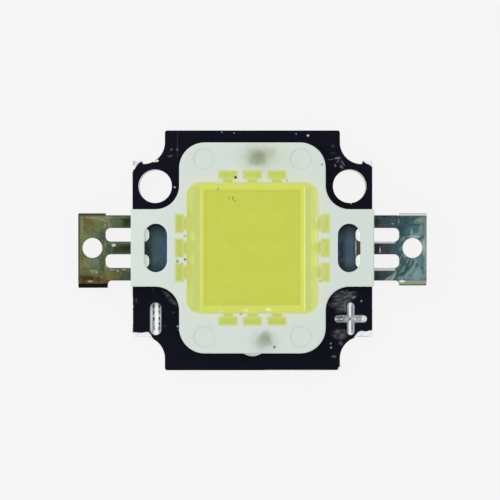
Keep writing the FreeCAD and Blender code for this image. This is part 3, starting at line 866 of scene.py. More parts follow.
def windowed(paint, side, middle, bands):
    """The metal seen in a window: bands of colour from the gel's side outwards, and painted shade towards the
    window's ends and along its rim.
    """
    reach = paint.calc("MULTIPLY", paint.x, side)
    inside = paint.fall(reach, 9.15, 9.3)
    paint.paint(middle, inside)
    for low, high, colour, softness in bands:
        paint.paint(colour, paint.both(inside, paint.band(reach, low, high, softness)))
    cloudy = paint.blotches(0.3, 0.46, 0.15, (1, 0.5, 1))
    paint.paint(shade(84, 102, 110), paint.both(inside, cloudy), 0.3)
    # Painted shade towards the window's ends
    from_middle = paint.mirrored(paint.calc("SUBTRACT", paint.y, FRAME_MIDDLE_Y))
    paint.paint(shade(28, 40, 36), paint.both(inside, paint.rise(from_middle, 0.7, 1.9)), 0.7)
    # Painted shade along the rim, where the window's walls stand over the metal
    rim = paint.make("Box distance", middle=(side * WINDOW_X, FRAME_MIDDLE_Y, 0), half_size=WINDOW_HALF,
                     corner_radius=WINDOW_CORNER)
    paint.paint(shade(20, 30, 26), paint.both(inside, paint.rise(rim, -0.25, -0.02)), 0.7)


def minus_stains(paint, look):
    """Green, cool, rusty and burnt patches on the minus lead's end."""
    loose = paint.wandering(0.5, 0.5)
    paint.paint(look.minus_cool, paint.blotches(0.9, 0.45, 0.12), 0.5)
    paint.paint(look.minus_green, paint.blotches(0.45, 0.44, 0.12, (1, 0.7, 1)), 0.5)
    stains_and_painted_light(paint, (
        (look.minus_green, (
            (-12.8, 2.0, 0.45, 0.7, 0.7), (-13.7, 1.0, 0.5, 0.6, 0.5), (-12.7, -2.15, 0.7, 0.22, 0.5))),
        (look.minus_cool, (
            (-12.45, 1.2, 0.45, 0.75, 0.7), (-13.1, -1.0, 0.5, 0.55, 0.75), (-12.3, -0.4, 0.3, 0.6, 0.6),
            (-13.3, 1.55, 0.3, 0.25, 0.4))),
        (shade(124, 126, 88), (
            (-13.75, -1.0, 0.55, 0.45, 0.55), (-13.9, 2.55, 0.3, 0.3, 0.5), (-12.75, 2.55, 0.5, 0.16, 0.5),
            (-13.9, 0.9, 0.3, 0.5, 0.4))),
        (shade(50, 60, 44), (
            (-12.35, 1.1, 0.35, 0.55, 0.5), (-12.4, -0.95, 0.32, 0.6, 0.45), (-12.35, -1.7, 0.3, 0.3, 0.4))),
        (look.minus_brown, (
            (-13.6, 2.45, 0.42, 0.3, 0.85), (-13.85, 1.95, 0.18, 0.45, 0.7), (-13.2, 2.0, 0.3, 0.2, 20, 0.5),
            (-14.05, -0.6, 0.16, 0.5, 0.8), (-13.75, -1.7, 0.35, 0.35, 0.55), (-13.0, -2.32, 1.1, 0.28, 0.8),
            (-12.3, -2.0, 0.5, 0.2, 0.4))),
        (look.minus_dark, (
            (-13.5, -2.35, 0.45, 0.22, 0.9), (-14.1, -2.2, 0.2, 0.25, 0.7), (-13.9, 2.7, 0.2, 0.16, 0.6),
            (-12.7, -2.42, 0.5, 0.1, 0.6))),
    ), loose)


def minus_legs(paint, look):
    """Grey-green legs, darkened as painted shade and streaked with painted shade, and a finer mottle over the
    whole minus lead.
    """
    legs = paint.rise(paint.x, -12.0, -11.4)
    # Painted shade: the legs are darker than the plating
    paint.paint(look.minus_leg, legs, 0.9)
    streaked_leg_shade = paint.blotches(0.35, 0.45, 0.12, (0.35, 1, 1))
    paint.paint(shade(38, 52, 28), paint.both(legs, streaked_leg_shade), 0.6)
    paint.paint(shade(142, 148, 116), paint.blotches(0.22, 0.38, 0.1), 0.4)
    paint.paint(shade(52, 58, 38), paint.blotches(0.28, 0.38, 0.1, (0.8, 1, 1)), 0.6)
    # More painted shade on the middle leg
    shaded_middle_leg = paint.both(legs, paint.band(paint.y, -0.2, 0.5, 0.08))
    paint.paint(shade(30, 38, 28), shaded_middle_leg, 0.45)


def minus_fine_stains(paint, fine):
    """Small stains on the minus lead, painted shade and painted highlights on its legs, its dark end, and the
    rims of its legs, paler as painted highlight on the slot walls.
    """
    stains_and_painted_light(paint, (
        (shade(112, 130, 104), ((-12.9, -0.95, 0.28, 0.3, 0.5), (-13.3, -0.9, 0.2, 0.2, 0.3))),
        (shade(146, 150, 116), (
            (-13.25, -1.72, 0.22, 0.12, -20, 0.6), (-13.2, 2.7, 1.1, 0.1, 0.35),
            (-14.1, 2.0, 0.12, 0.6, 0.35), (-11.9, 2.72, 0.5, 0.09, 0.5))),
        # Painted shade on the legs next to the frame
        (shade(26, 42, 18), (
            (-10.9, 2.34, 0.75, 0.3, 0.85), (-10.5, 0.15, 0.4, 0.2, 0.7), (-10.0, 0.25, 0.4, 0.3, 0.5),
            (-10.1, 2.3, 0.5, 0.4, 0.5))),
        (shade(160, 164, 134), (
            (-12.3, 2.5, 0.3, 0.07, -20, 0.5), (-11.85, 2.2, 0.1, 0.35, 10, 0.35),
            (-12.2, 2.05, 0.12, 0.16, 0.4), (-12.9, -1.78, 0.16, 0.07, -50, 0.8),
            (-11.62, 1.0, 1.4, 0.03, 90, 0.5), (-13.2, 2.68, 0.2, 0.06, 0.5), (-12.1, -1.3, 0.05, 0.4, 0.5),
            (-12.15, 0.5, 0.05, 0.3, 10, 0.4))),
        (shade(110, 124, 92), ((-11.2, 2.35, 0.5, 0.35, 0.5), (-10.8, 2.75, 0.6, 0.08, 0.5))),
        (shade(122, 116, 62), ((-11.7, -2.05, 0.7, 0.4, 0.4),)),
        # Painted shade on the middle leg
        (shade(52, 70, 58), ((-11.9, 0.1, 0.25, 0.5, 0.6),)),
        # Painted highlights on the middle leg and along the lower slot
        (shade(214, 218, 210), (
            (-11.46, 0.44, 0.15, 0.12, 0.95), (-11.15, -1.68, 0.12, 0.05, 0.9),
            (-10.61, -1.58, 0.12, 0.05, 0.9), (-11.6, -1.6, 0.2, 0.04, 0.7))),
    ), fine)
    end_edge = paint.fall(paint.x, -14.33, -14.26)
    paint.paint(shade(32, 42, 26), end_edge, 0.8)
    # Slot walls on the legs, paler as painted highlight
    lit_slot_wall = paint.either(paint.band(paint.y, 0.5, 0.8, 0.06), paint.band(paint.y, -1.7, -1.42, 0.05))
    lit_slot_wall = paint.both(lit_slot_wall, paint.rise(paint.x, -11.9, -11.8))
    paint.paint(shade(96, 104, 94), lit_slot_wall, 0.6)


def minus_rim(paint, fine):
    """The minus lead's rusty front edge with a painted highlight, and its back line and black lip darkened as
    painted shade.
    """
    front_edge = paint.both(paint.fall(paint.y, -2.5, -2.44), paint.fall(paint.x, -11.95, -11.85))
    paint.paint(shade(92, 76, 34), front_edge, 0.9)
    rust = paint.blotches(0.3, 0.46, 0.12, (1, 0.6, 1))
    rusty = paint.both(paint.patch(-14.3, -11.9, -2.9, -2.0, 0.15), rust)
    paint.paint(shade(58, 44, 12), rusty, 0.75)
    # Painted highlight on the rusty front edge
    minus_lip_highlight = paint.mark(-13.4, -2.56, 0.2, 0.07, softness=0.7, on=fine)
    paint.paint(shade(186, 174, 138), minus_lip_highlight, 0.85)
    # Painted shade along the back edge
    painted_back_edge = paint.rise(paint.y, 2.84, 2.92)
    paint.paint(shade(50, 50, 34), paint.both(painted_back_edge, paint.fall(paint.x, -12.2, -12.0)), 0.9)
    # Painted shade on the front lip, which faces away from the light: black, matt and not metallic
    front_lip = paint.both(paint.fall(paint.y, -2.78, -2.7), paint.fall(paint.x, -11.9, -11.8))
    paint.paint(shade(10, 10, 3), front_lip)
    paint.plate(0.0, front_lip)
    paint.roughen(0.9, front_lip)


def minus_lead(look):
    """Olive plating with rusty and burnt patches, grey-green legs and a black lip, the legs and the lip
    darkened as painted shade.
    """
    paint = Finish("Minus lead plating", look.minus_plating, look.lead_roughness, 0.9, LEAD_TOP)
    fine = paint.wandering(0.15, 0.12)
    minus_stains(paint, look)
    minus_legs(paint, look)
    minus_fine_stains(paint, fine)
    windowed(paint, -1, shade(60, 81, 87), (
        (6.0, 7.45, shade(53, 77, 104), 0.35), (8.35, 9.9, shade(34, 48, 44), 0.35)))
    lead_edges(paint, look)
    minus_rim(paint, fine)
    return paint.finish(bump_strength=0.6, Specular_IOR_Level=0.15)


def plus_stains(paint, look):
    """Blue zones, and pale and dark diagonal patches on the plus lead's end."""
    loose = paint.wandering(0.4, 0.45)
    paint.paint(look.plus_blue, paint.blotches(0.9, 0.42, 0.15), 0.45)
    paint.paint(look.plus_dark, paint.blotches(0.5, 0.46, 0.12, (1, 0.6, 1)), 0.7)
    pad = paint.both(paint.rise(paint.x, 11.9, 12.4), paint.fall(paint.y, 0.9, 1.1))
    flakes = paint.make(
        "Scratches", turn=math.radians(62), length=0.75, width=0.26, cover=0.46, softness=0.07)
    paint.paint(look.plus_pale, paint.both(pad, flakes), 0.7)
    stains_and_painted_light(paint, (
        (look.plus_dark, (
            (12.2, 1.6, 0.5, 1.1, 0.6), (12.6, -1.5, 0.2, 0.8, -25, 0.85), (12.3, -0.3, 0.3, 0.5, 0.5),
            (13.0, 2.6, 0.5, 0.2, 0.4), (13.25, -1.3, 0.1, 0.5, -30, 0.6))),
        (look.plus_blue, ((13.95, -1.2, 0.25, 0.9, 0.7), (13.3, 1.7, 0.5, 0.3, 20, 0.6))),
        (look.plus_pale, (
            (12.25, -2.3, 0.22, 0.2, -30, 0.5), (12.95, -1.9, 0.14, 0.5, -25, 0.6),
            (13.6, -2.1, 0.45, 0.5, -20, 0.75), (13.15, 1.5, 0.14, 0.3, 0.7),
            (13.7, 2.45, 0.4, 0.22, 20, 0.5), (13.6, 1.25, 0.5, 0.25, 20, 0.65),
            (13.95, 1.8, 0.2, 0.3, 0.6))),
    ), loose)


def plus_legs(paint, look):
    """Dark legs, darkened as painted shade and streaked with painted shade, and a finer pale mottle over the
    whole plus lead.
    """
    legs = paint.fall(paint.x, 11.1, 11.9)
    # Painted shade: the legs are darker than the plating
    paint.paint(look.plus_leg, legs, 0.9)
    brown = paint.both(paint.band(paint.y, -0.5, 0.8, 0.1), paint.fall(paint.x, 11.2, 11.8))
    paint.paint(shade(64, 62, 72), brown, 0.8)
    leg_shade_streaks = paint.blotches(0.35, 0.46, 0.12, (0.4, 1, 1))
    paint.paint(shade(28, 38, 38), paint.both(legs, leg_shade_streaks), 0.6)
    paint.paint(shade(140, 160, 152), paint.blotches(0.2, 0.36, 0.1), 0.4)


def plus_fine_stains(paint, fine):
    """Small stains on the plus lead, painted shade on its legs, and the bright rims of its legs, lightened as
    painted highlight on the slot walls.
    """
    stains_and_painted_light(paint, (
        (shade(132, 148, 128), ((12.1, -0.9, 0.8, 0.03, 64, 0.55), (11.4, -2.2, 0.3, 0.03, 60, 0.3))),
        (shade(84, 98, 96), ((11.1, 2.1, 0.6, 0.12, 0.35),)),
        # Painted shade on the legs next to the frame
        (shade(28, 38, 40), (
            (10.3, 0.2, 0.2, 0.7, 0.85), (10.3, 2.35, 0.2, 0.4, 0.7), (10.25, -1.95, 0.25, 0.5, 0.5))),
        (shade(54, 68, 70), ((12.1, 2.6, 0.35, 0.25, 0.6), (13.7, 2.2, 0.2, 0.2, 0.4))),
        (shade(56, 86, 88), ((12.9, -1.45, 0.1, 0.35, -30, 0.7), (12.05, -1.75, 0.12, 0.35, -30, 0.8))),
        (shade(124, 152, 150), (
            (13.3, -1.45, 0.11, 0.35, -30, 0.8), (13.7, -1.5, 0.13, 0.3, -30, 0.6),
            (12.5, -1.5, 0.11, 0.3, -25, 0.6), (13.0, -2.3, 0.35, 0.14, 0.6),
            (12.85, -0.85, 0.1, 0.3, -30, 0.5), (13.85, -0.9, 0.12, 0.3, -20, 0.4),
            (12.5, 0.95, 0.16, 0.2, -30, 0.5))),
        (shade(144, 158, 150), (
            (11.62, -2.2, 0.45, 0.13, 58, 0.9), (11.15, -2.38, 0.35, 0.1, 40, 0.7),
            (14.0, 2.5, 0.3, 0.3, 0.45), (14.28, 0.2, 0.13, 2.7, 0.6))),
        (shade(176, 190, 192), ((13.35, 1.12, 0.5, 0.1, 0.6), (14.15, 0.4, 0.14, 0.5, 0.6))),
        (shade(196, 198, 196), (
            (10.54, 0.0, 0.2, 0.05, 90, 0.8), (12.1, 2.4, 0.2, 0.05, 90, 0.35), (11.6, 2.2, 0.1, 0.04, 0.5))),
        (shade(18, 22, 18), (
            (11.66, 3.0, 0.25, 0.14, 0.95), (10.3, 2.9, 0.3, 0.08, 0.7), (10.9, 2.85, 0.3, 0.05, 0.5))),
    ), fine)
    # Slot walls on the legs: pale sheared metal, lightened further as painted highlight
    sheared = paint.either(paint.band(paint.y, 0.58, 0.8, 0.04), paint.band(paint.y, -1.68, -1.44, 0.04))
    sheared = paint.both(sheared, paint.fall(paint.x, 11.7, 11.9))
    paint.paint(shade(204, 208, 206), sheared, 0.85)


def plus_rim(paint, fine):
    """The plus lead's dull end, back line lightened as painted highlight, and olive lip with a painted
    highlight.
    """
    end_edge = paint.rise(paint.x, 14.36, 14.39)
    paint.paint(shade(110, 122, 120), end_edge, 0.7)
    # Painted highlight along the back edge, with a thin darker line at its outer side
    painted_back_edge = paint.both(paint.rise(paint.y, 2.84, 2.92), paint.rise(paint.x, 11.9, 12.05))
    paint.paint(shade(226, 231, 218), painted_back_edge, 0.9)
    paint.paint(shade(150, 152, 138), paint.both(painted_back_edge, paint.rise(paint.y, 3.0, 3.03)), 0.7)
    front_lip = paint.both(paint.fall(paint.y, -2.52, -2.46), paint.rise(paint.x, 12.0, 12.1))
    paint.paint(shade(146, 156, 132), front_lip, 0.9)
    paint.paint(shade(84, 90, 68), paint.both(front_lip, paint.band(paint.y, -2.86, -2.78, 0.03)), 0.8)
    # Painted highlight on the front lip
    plus_lip_highlight = paint.mark(12.38, -2.56, 0.25, 0.09, softness=0.4, on=fine)
    paint.paint(shade(236, 240, 226), plus_lip_highlight, 0.95)


def plus_lead(look):
    """Teal plating with pale diagonal patches, blue zones and dark legs, the legs darkened as painted shade.
    """
    paint = Finish("Plus lead plating", look.plus_plating, look.lead_roughness, 0.9, LEAD_TOP)
    fine = paint.wandering(0.15, 0.12)
    plus_stains(paint, look)
    plus_legs(paint, look)
    plus_fine_stains(paint, fine)
    windowed(paint, 1, shade(68, 84, 100), (
        (6.0, 7.68, shade(33, 51, 62), 0.3), (8.4, 9.9, shade(50, 66, 62), 0.25)))

    # A brown patch in the window, with a bright line beside it
    brown_patch = paint.patch(8.6, 9.2, -0.4, 0.72, 0.06)
    paint.paint(shade(74, 70, 68), brown_patch, 0.95)
    bright_line = paint.mark(8.55, 0.25, 0.7, 0.05, 90, softness=0.5, on=fine)
    paint.paint(shade(170, 182, 178), bright_line, 0.9)

    lead_edges(paint, look)
    plus_rim(paint, fine)
    return paint.finish(bump_strength=0.6)


class LED_OT_dress_leads(bpy.types.Operator):
    """Gives the two leads their tarnished plating, scratches and sheared edges"""
    bl_idname = "cob_led.dress_leads"
    bl_label = "Leads"

    def execute(self, context):
        look = context.scene.led_lead_look
        dress("lead_negative", minus_lead(look))
        dress("lead_positive", plus_lead(look))
        return {"FINISHED"}


# Phosphor gel

def gel_depths(paint, look):
    """Tints for what lies below the gel: walls, ledges, steps, floor and chips. Returns the ledges' mask."""
    x, y = paint.x, paint.y
    # Painted light: the plus half paler than the minus half, as lit from the minus side
    paint.paint(look.over_right_wall, paint.rise(x, 0.0, 1.0))
    side_wall = paint.either(paint.rise(y, 4.9, 5.05), paint.fall(y, -4.6, -4.45))
    paint.paint(look.over_side_wall, paint.both(side_wall, paint.band(x, -4.6, 4.7, 0.3)))

    step_length = paint.band(y, -4.95, 5.2, 0.08)

    def strip(low, high, softness):
        return paint.both(paint.band(x, low, high, softness), step_length)

    ledge = paint.either(strip(-4.93, -4.33, 0.07), strip(4.38, 4.82, 0.07))
    paint.paint(look.over_ledge, ledge, 0.9)
    for at_x, tint in (
            (-4.78, shade(206, 204, 126)), (-4.56, shade(192, 212, 122)), (4.5, shade(190, 209, 122)),
            (4.68, shade(208, 210, 116)), (-4.38, shade(214, 218, 128))):
        paint.paint(tint, strip(at_x - LINE_HALF, at_x + LINE_HALF, LINE_HALF), 0.45)
    paint.paint(look.over_left_step, strip(-4.31, -3.95, 0.05))
    paint.paint(look.over_right_step, strip(3.93, 4.3, 0.05))

    floor = paint.patch(-3.97, 3.95, -4.5, 4.97, 0.06)
    paint.paint(look.over_floor, floor)
    for edge, tint, strength in (
            (paint.fall(x, -3.95, -3.7), shade(185, 194, 54), 0.75),
            (paint.rise(x, 3.7, 3.93), shade(196, 205, 64), 0.6),
            (paint.rise(y, 4.6, 4.95), shade(190, 200, 58), 0.5),
            (paint.fall(y, -4.5, -4.1), shade(190, 200, 62), 0.4)):
        paint.paint(tint, paint.both(floor, edge), strength)
    # Painted highlights along both steps
    paint.paint(shade(230, 237, 130), strip(-4.27, -4.2, 0.03), 0.85)
    paint.paint(look.bright_line, strip(4.24, 4.32, 0.025))

    # Chips show as faint brighter spots
    flat = vector_calc(paint.tree, "MULTIPLY", paint.position, (1, 1, 0))
    half_x, half_y = CHIP_PITCH[0] / 2, CHIP_PITCH[1] / 2
    cell_high = (half_x, CHIPS_Y + half_y, 1)
    cell_low = (-half_x, CHIPS_Y - half_y, -1)
    folded = vector_calc(paint.tree, "WRAP", flat, cell_high, cell_low)
    from_chip = vector_calc(paint.tree, "DISTANCE", folded, (0, CHIPS_Y, 0), output="Value")
    chips = paint.both(paint.fall(from_chip, 0.2, 0.75), paint.patch(-3.3, 3.3, -3.5, 3.9, 0.1))
    paint.paint(look.over_chips, chips, 0.6)
    return ledge


def gel_rim(paint, look, ledge):
    """Tints for the keyed pockets and for the rim of the cavity between them, with painted light and shade in
    the keys.
    """
    x, y = paint.x, paint.y
    rim = paint.rim_distance()
    key = paint.key_distance()
    outside = paint.rise(rim, -0.05, 0.1)
    greener = paint.blotches(0.35, 0.42, 0.15)
    paint.paint(look.in_keys, outside)
    # Painted light and shade: keys darker on the minus side, paler on the plus side and darker at their outer
    # ends
    for place, tint, strength in (
            (paint.fall(x, -5.6, -5.4), shade(181, 199, 98), 0.8),
            (paint.rise(x, 5.4, 5.6), shade(205, 214, 124), 0.85),
            (paint.rise(y, 5.6, 5.8), shade(203, 213, 103), 0.8),
            (paint.rise(rim, 0.6, 0.95), shade(176, 190, 80), 0.4),
            (paint.blotches(0.5, 0.45, 0.15), shade(212, 206, 106), 0.45),
            (greener, shade(168, 190, 78), 0.55)):
        paint.paint(tint, paint.both(outside, place), strength)
    paint.paint(shade(178, 200, 84), paint.both(ledge, greener), 0.3)

    at_minus = paint.fall(x, -4.95, -4.8)
    rim_line = paint.both(paint.band(rim, -0.2, -0.05, 0.05), paint.rise(key, 0.05, 0.2))
    paint.paint(look.rim_line, paint.both(rim_line, paint.either(at_minus, 0.2)), 0.7)
    beside = paint.rise(paint.calc("MINIMUM", rim, key), -0.2, 0.03)
    paint.paint(look.halo, paint.both(beside, paint.no(paint.both(at_minus, paint.fall(rim, 0.0, 0.1)))), 0.7)

    # Brighter light in the rim at the corners and along the plus side
    from_middle = paint.mirrored(paint.calc("SUBTRACT", y, GEL_MIDDLE_Y))
    corner = paint.both(paint.rise(paint.mirrored(x), 4.75, 4.95), paint.rise(from_middle, 2.8, 3.4))
    paint.paint(shade(214, 222, 124), paint.both(corner, paint.band(rim, -0.55, -0.02, 0.1)), 0.65)
    plus_rim = paint.both(paint.rise(x, 5.0, 5.1), paint.band(rim, -0.2, 0.0, 0.04))
    paint.paint(shade(220, 228, 156), paint.both(plus_rim, paint.rise(key, 0.0, 0.1)), 0.7)


def gel_finish(look):
    """Yellow silicone whose tint follows what lies below: floor, steps, ledges, walls, keys and chips."""
    paint = Finish("Phosphor silicone", look.over_left_wall, look.gel_roughness, top=GEL_TOP)
    ledge = gel_depths(paint, look)
    gel_rim(paint, look, ledge)

    # Painted highlights on the bulges and lenses beside the plastic's tongues, and warmer places
    loose = paint.wandering(0.3, 0.15)
    paint.spots(shade(225, 231, 112), (
        (-5.02, 1.15, 0.2, 0.45, 0.45), (-5.02, -0.8, 0.2, 0.45, 0.45), (4.98, 1.2, 0.22, 0.6, 0.8),
        (4.98, -0.85, 0.22, 0.62, 0.8), (-0.95, 5.4, 0.4, 0.12, 0.35), (1.05, 5.4, 0.4, 0.12, 0.35),
        (4.95, 3.1, 0.14, 0.3, 0.4), (4.95, -2.8, 0.14, 0.35, 0.5),
    ), softness=0.5, on=loose)
    lens_highlights = ((-4.86, 1.2, 0.05, 0.36, 0.8), (-4.86, -0.75, 0.05, 0.34, 0.8))
    paint.spots(shade(232, 240, 136), lens_highlights, softness=0.5)
    paint.spots(shade(232, 238, 186), (
        (5.28, 1.15, 0.12, 0.42, 0.75), (5.28, -0.88, 0.12, 0.42, 0.75), (5.25, 2.6, 0.1, 0.2, 0.75),
    ), softness=0.6, on=loose)
    paint.spots(shade(208, 200, 100), (
        (-5.12, 0.6, 0.14, 0.3, 0.45), (-5.12, -1.4, 0.14, 0.3, 0.45), (-5.08, -1.75, 0.15, 0.25, 0.45),
        (5.15, 0.25, 0.14, 0.3, 0.45), (2.2, 5.8, 0.3, 0.2, 0.45), (0.9, 5.75, 0.2, 0.2, 0.45),
        (2.1, -5.5, 0.3, 0.2, 0.45),
    ), softness=0.7, on=loose)

    cloud = paint.blotches(2.0, 0.5, 0.25)
    paint.paint(shade(206, 214, 90), cloud, 0.25)
    mottle = paint.blotches(0.4, 0.45, 0.25)
    paint.paint(shade(190, 204, 64), mottle, 0.18)

    # Dirt in the gel, and light caught at its front edge
    paint.spots(DARK_DIRT, (DIRT_AT_RIM,))
    paint.spots(shade(92, 98, 40), (
        (-2.83, 5.05, 0.07, 0.07, 0.8), (-1.93, 4.3, 0.045, 0.13, 0.5), (-1.6, 4.28, 0.055, 0.15, 0.7),
        (-1.45, 4.08, 0.1, 0.06, 0.5), (-1.35, 3.75, 0.05, 0.1, 0.3), (-1.15, 3.6, 0.08, 0.05, 0.25),
        (-1.7, 0.8, 0.06, 0.06, 0.4),
    ), softness=0.6)
    paint.spots(shade(248, 249, 186), (
        (-2.6, -4.98, 0.16, 0.08, 0.3), (-0.55, -4.93, 0.2, 0.1, 0.5), (1.33, -4.86, 0.22, 0.11, 0.9),
    ), softness=0.6)

    paint.raise_by(paint.grain(0.9), 0.02)
    return paint.finish(bump_strength=0.5, Specular_IOR_Level=0.35)


def gel_with_meniscus(look):
    """A copy of the gel's solid whose top climbs the plastic at its rim."""
    shape = bmesh.new()
    shape.from_mesh(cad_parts["phosphor_gel"].data)
    bmesh.ops.remove_doubles(shape, verts=shape.verts, dist=MERGE_DISTANCE)
    lowest_top = gel_high.z - TOP_LAYER
    top = [face for face in shape.faces
           if face.normal.z > FACING_UP and face.calc_center_median().z > lowest_top]
    if not top:
        raise RuntimeError("The gel's top wasn't found")
    top_faces = set(top)
    highest = frame_high.z - look.meniscus_rise
    outline = {vert for face in top for vert in face.verts
               if vert.co.z < highest and any(other not in top_faces for other in vert.link_faces)}
    bmesh.ops.inset_region(
        shape, faces=top, thickness=look.meniscus_width, use_even_offset=True, use_boundary=True)
    bmesh.ops.translate(shape, verts=list(outline), vec=(0, 0, look.meniscus_rise))
    return new_piece("gel_with_meniscus", shape)


class LED_OT_pour_gel(bpy.types.Operator):
    """Fills the cavity and its keyed pockets with phosphor gel"""
    bl_idname = "cob_led.pour_gel"
    bl_label = "Phosphor gel"

    def execute(self, context):
        look = context.scene.led_gel_look
        piece = gel_with_meniscus(look)
        piece.data.materials.append(gel_finish(look))
        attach(piece, BODY)
        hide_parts("phosphor_gel")
        return {"FINISHED"}


# Chips, their bonds and wires

def crystal_finish(look):
    paint = Finish("Chip crystal", look.crystal, 0.12)
    mesa = paint.rise(paint.z, MESA_HEIGHT - 0.01, MESA_HEIGHT + 0.005)
    paint.paint(shade(150, 165, 196), mesa, 0.7)
    paint.paint(shade(198, 206, 220), paint.blotches(0.3, 0.4, 0.1), 0.4)
    paint.raise_by(paint.grain(0.03), 0.002)
    return paint.finish(bump_strength=0.4)


def adhesive_finish(look):
    paint = Finish("Die-bond adhesive", look.adhesive, 0.6)
    paint.paint(shade(206, 204, 194), paint.blotches(0.2, 0.45, 0.2), 0.6)
    paint.raise_by(paint.grain(0.04), 0.004)
    return paint.finish(bump_strength=0.5)


def gold_finish(look):
    paint = Finish("Gold wire", look.gold, 0.22, 1.0)
    paint.paint(shade(224, 178, 96), paint.blotches(0.15, 0.45, 0.2), 0.6)
    paint.raise_by(paint.grain(0.02), 0.0006)
    return paint.finish(bump_strength=0.4)


class LED_OT_dress_inside(bpy.types.Operator):
    """Gives the chips, their adhesive and their wires their materials"""
    bl_idname = "cob_led.dress_inside"
    bl_label = "Chips, bonds and wires"

    def execute(self, context):
        look = context.scene.led_inside_look
        finishes = {"led_chip": crystal_finish, "die_bond": adhesive_finish, "bond_wire": gold_finish}
        for start, finish in finishes.items():
            names = sorted(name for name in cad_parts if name.startswith(start))
            if not names:
                raise RuntimeError(f"The packed part has no {start}")
            material = finish(look)
            for name in names:
                dress(name, material)
        return {"FINISHED"}


# Stage

def seen_directly(tree):
    """1 for rays that come from the camera, or by way of a mirror or glass."""
    path = tree.nodes.new("ShaderNodeLightPath").outputs
    shiny = calc(tree, "MAXIMUM", path["Is Glossy Ray"], path["Is Transmission Ray"])
    return calc(tree, "MAXIMUM", path["Is Camera Ray"], shiny)


def floor_finish(look):
    """A pale floor that shows the backdrop's colour and a light share of the shadow on it.

    It is clear from below, and lets light through to the underside that lies on it.
    """
    material = bpy.data.materials.new("Pale floor")
    material.use_nodes = True
    tree = material.node_tree
    tree.nodes.clear()
    matt = put(tree, "ShaderNodeBsdfDiffuse", {"Color": look.backdrop}).outputs[0]
    glow = put(tree, "ShaderNodeEmission", {"Color": look.backdrop, "Strength": 1.0}).outputs[0]
    clear = tree.nodes.new("ShaderNodeBsdfTransparent").outputs[0]
    share = calc(tree, "MULTIPLY", seen_directly(tree), 1 - look.shadow_share)
    above = put(tree, "ShaderNodeMixShader", {0: share, 1: matt, 2: glow}).outputs[0]
    behind = tree.nodes.new("ShaderNodeNewGeometry").outputs["Backfacing"]
    path = tree.nodes.new("ShaderNodeLightPath").outputs
    touching = calc(tree, "LESS_THAN", path["Ray Length"], 5 * look.floor_gap)
    unseen = calc(tree, "MAXIMUM", behind, calc(tree, "MULTIPLY", path["Is Diffuse Ray"], touching))
    shown = put(tree, "ShaderNodeMixShader", {0: unseen, 1: above, 2: clear}).outputs[0]
    end = tree.nodes.new("ShaderNodeOutputMaterial")
    tree.links.new(shown, end.inputs["Surface"])
    return material


def lay_floor(look):
    shape = bmesh.new()
    bmesh.ops.create_grid(shape, x_segments=1, y_segments=1, size=look.floor_size / 2)
    bmesh.ops.translate(shape, verts=shape.verts, vec=(0, 0, plate_low.z - look.floor_gap))
    floor = new_piece("floor", shape)
    floor.data.materials.append(floor_finish(look))


def light_sky(look):
    world = bpy.data.worlds.new("Studio sky")
    world.use_nodes = True
    tree = world.node_tree
    tree.nodes.clear()
    backdrop = put(tree, "ShaderNodeBackground", {"Color": look.backdrop, "Strength": 1.0}).outputs[0]
    sky = put(tree, "ShaderNodeBackground", {"Color": WHITE, "Strength": look.sky_strength}).outputs[0]
    both = put(tree, "ShaderNodeMixShader", {0: seen_directly(tree), 1: sky, 2: backdrop}).outputs[0]
    end = tree.nodes.new("ShaderNodeOutputWorld")
    tree.links.new(both, end.inputs["Surface"])
    bpy.context.scene.world = world


def hang_lamp(name, power, size, place):
    """A square lamp that faces the part."""
    light = bpy.data.lights.new(name, "AREA")
    light.energy = power
    light.size = size
    lamp = bpy.data.objects.new(name, light)
    lamp.location = place
    lamp.rotation_mode = "QUATERNION"
    lamp.rotation_quaternion = lamp.location.to_track_quat("Z", "Y")
    bpy.context.scene.collection.objects.link(lamp)


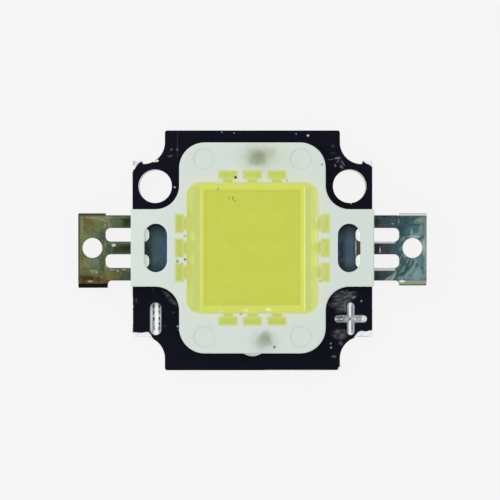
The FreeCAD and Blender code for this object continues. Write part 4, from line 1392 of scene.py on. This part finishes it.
def set_camera(look):
    camera = bpy.data.cameras.new("camera")
    camera.sensor_width = SENSOR_MILLIMETRES
    distance = look.camera_height - plate_high.z
    camera.lens = camera.sensor_width * distance / look.view_width
    camera.clip_start, camera.clip_end = CAMERA_REACH
    holder = bpy.data.objects.new("camera", camera)
    holder.location = (look.view_middle_x, look.view_middle_y, look.camera_height)
    bpy.context.scene.collection.objects.link(holder)
    bpy.context.scene.camera = holder


class LED_OT_set_stage(bpy.types.Operator):
    """Lays the floor, hangs the lamps and sets the camera above the part"""
    bl_idname = "cob_led.set_stage"
    bl_label = "Stage"

    def execute(self, context):
        look = context.scene.led_stage_look
        lay_floor(look)
        light_sky(look)
        hang_lamp("key lamp", look.key_power, KEY_LAMP_SIZE, KEY_LAMP_PLACE)
        set_camera(look)
        context.scene.view_settings.view_transform = "Standard"
        return {"FINISHED"}


OPERATORS = (
    LED_OT_set_stage,
    LED_OT_dress_plate,
    LED_OT_dress_frame,
    LED_OT_dress_leads,
    LED_OT_pour_gel,
    LED_OT_dress_inside,
)


class LED_PT_sidebar(bpy.types.Panel):
    """Lists the steps that finish the LED"""
    bl_idname = "LED_PT_sidebar"
    bl_label = "Chip-on-board LED"
    bl_space_type = "VIEW_3D"
    bl_region_type = "UI"
    bl_category = "COB LED"

    def draw(self, context):
        for operator in OPERATORS:
            self.layout.operator(operator.bl_idname)


def register():
    for name, look in LOOKS.items():
        bpy.utils.register_class(look)
        setattr(bpy.types.Scene, name, bpy.props.PointerProperty(type=look))
    for operator in OPERATORS:
        bpy.utils.register_class(operator)
    bpy.utils.register_class(LED_PT_sidebar)


def unregister():
    bpy.utils.unregister_class(LED_PT_sidebar)
    for operator in reversed(OPERATORS):
        bpy.utils.unregister_class(operator)
    for name, look in reversed(LOOKS.items()):
        delattr(bpy.types.Scene, name)
        bpy.utils.unregister_class(look)


def main():
    register()
    for make_effect in EFFECTS:
        make_effect()
    bpy.ops.cob_led.set_stage()
    bpy.ops.cob_led.dress_plate()
    bpy.ops.cob_led.dress_frame()
    bpy.ops.cob_led.dress_leads()
    bpy.ops.cob_led.pour_gel()
    bpy.ops.cob_led.dress_inside()


if __name__ == "__main__":
    main()
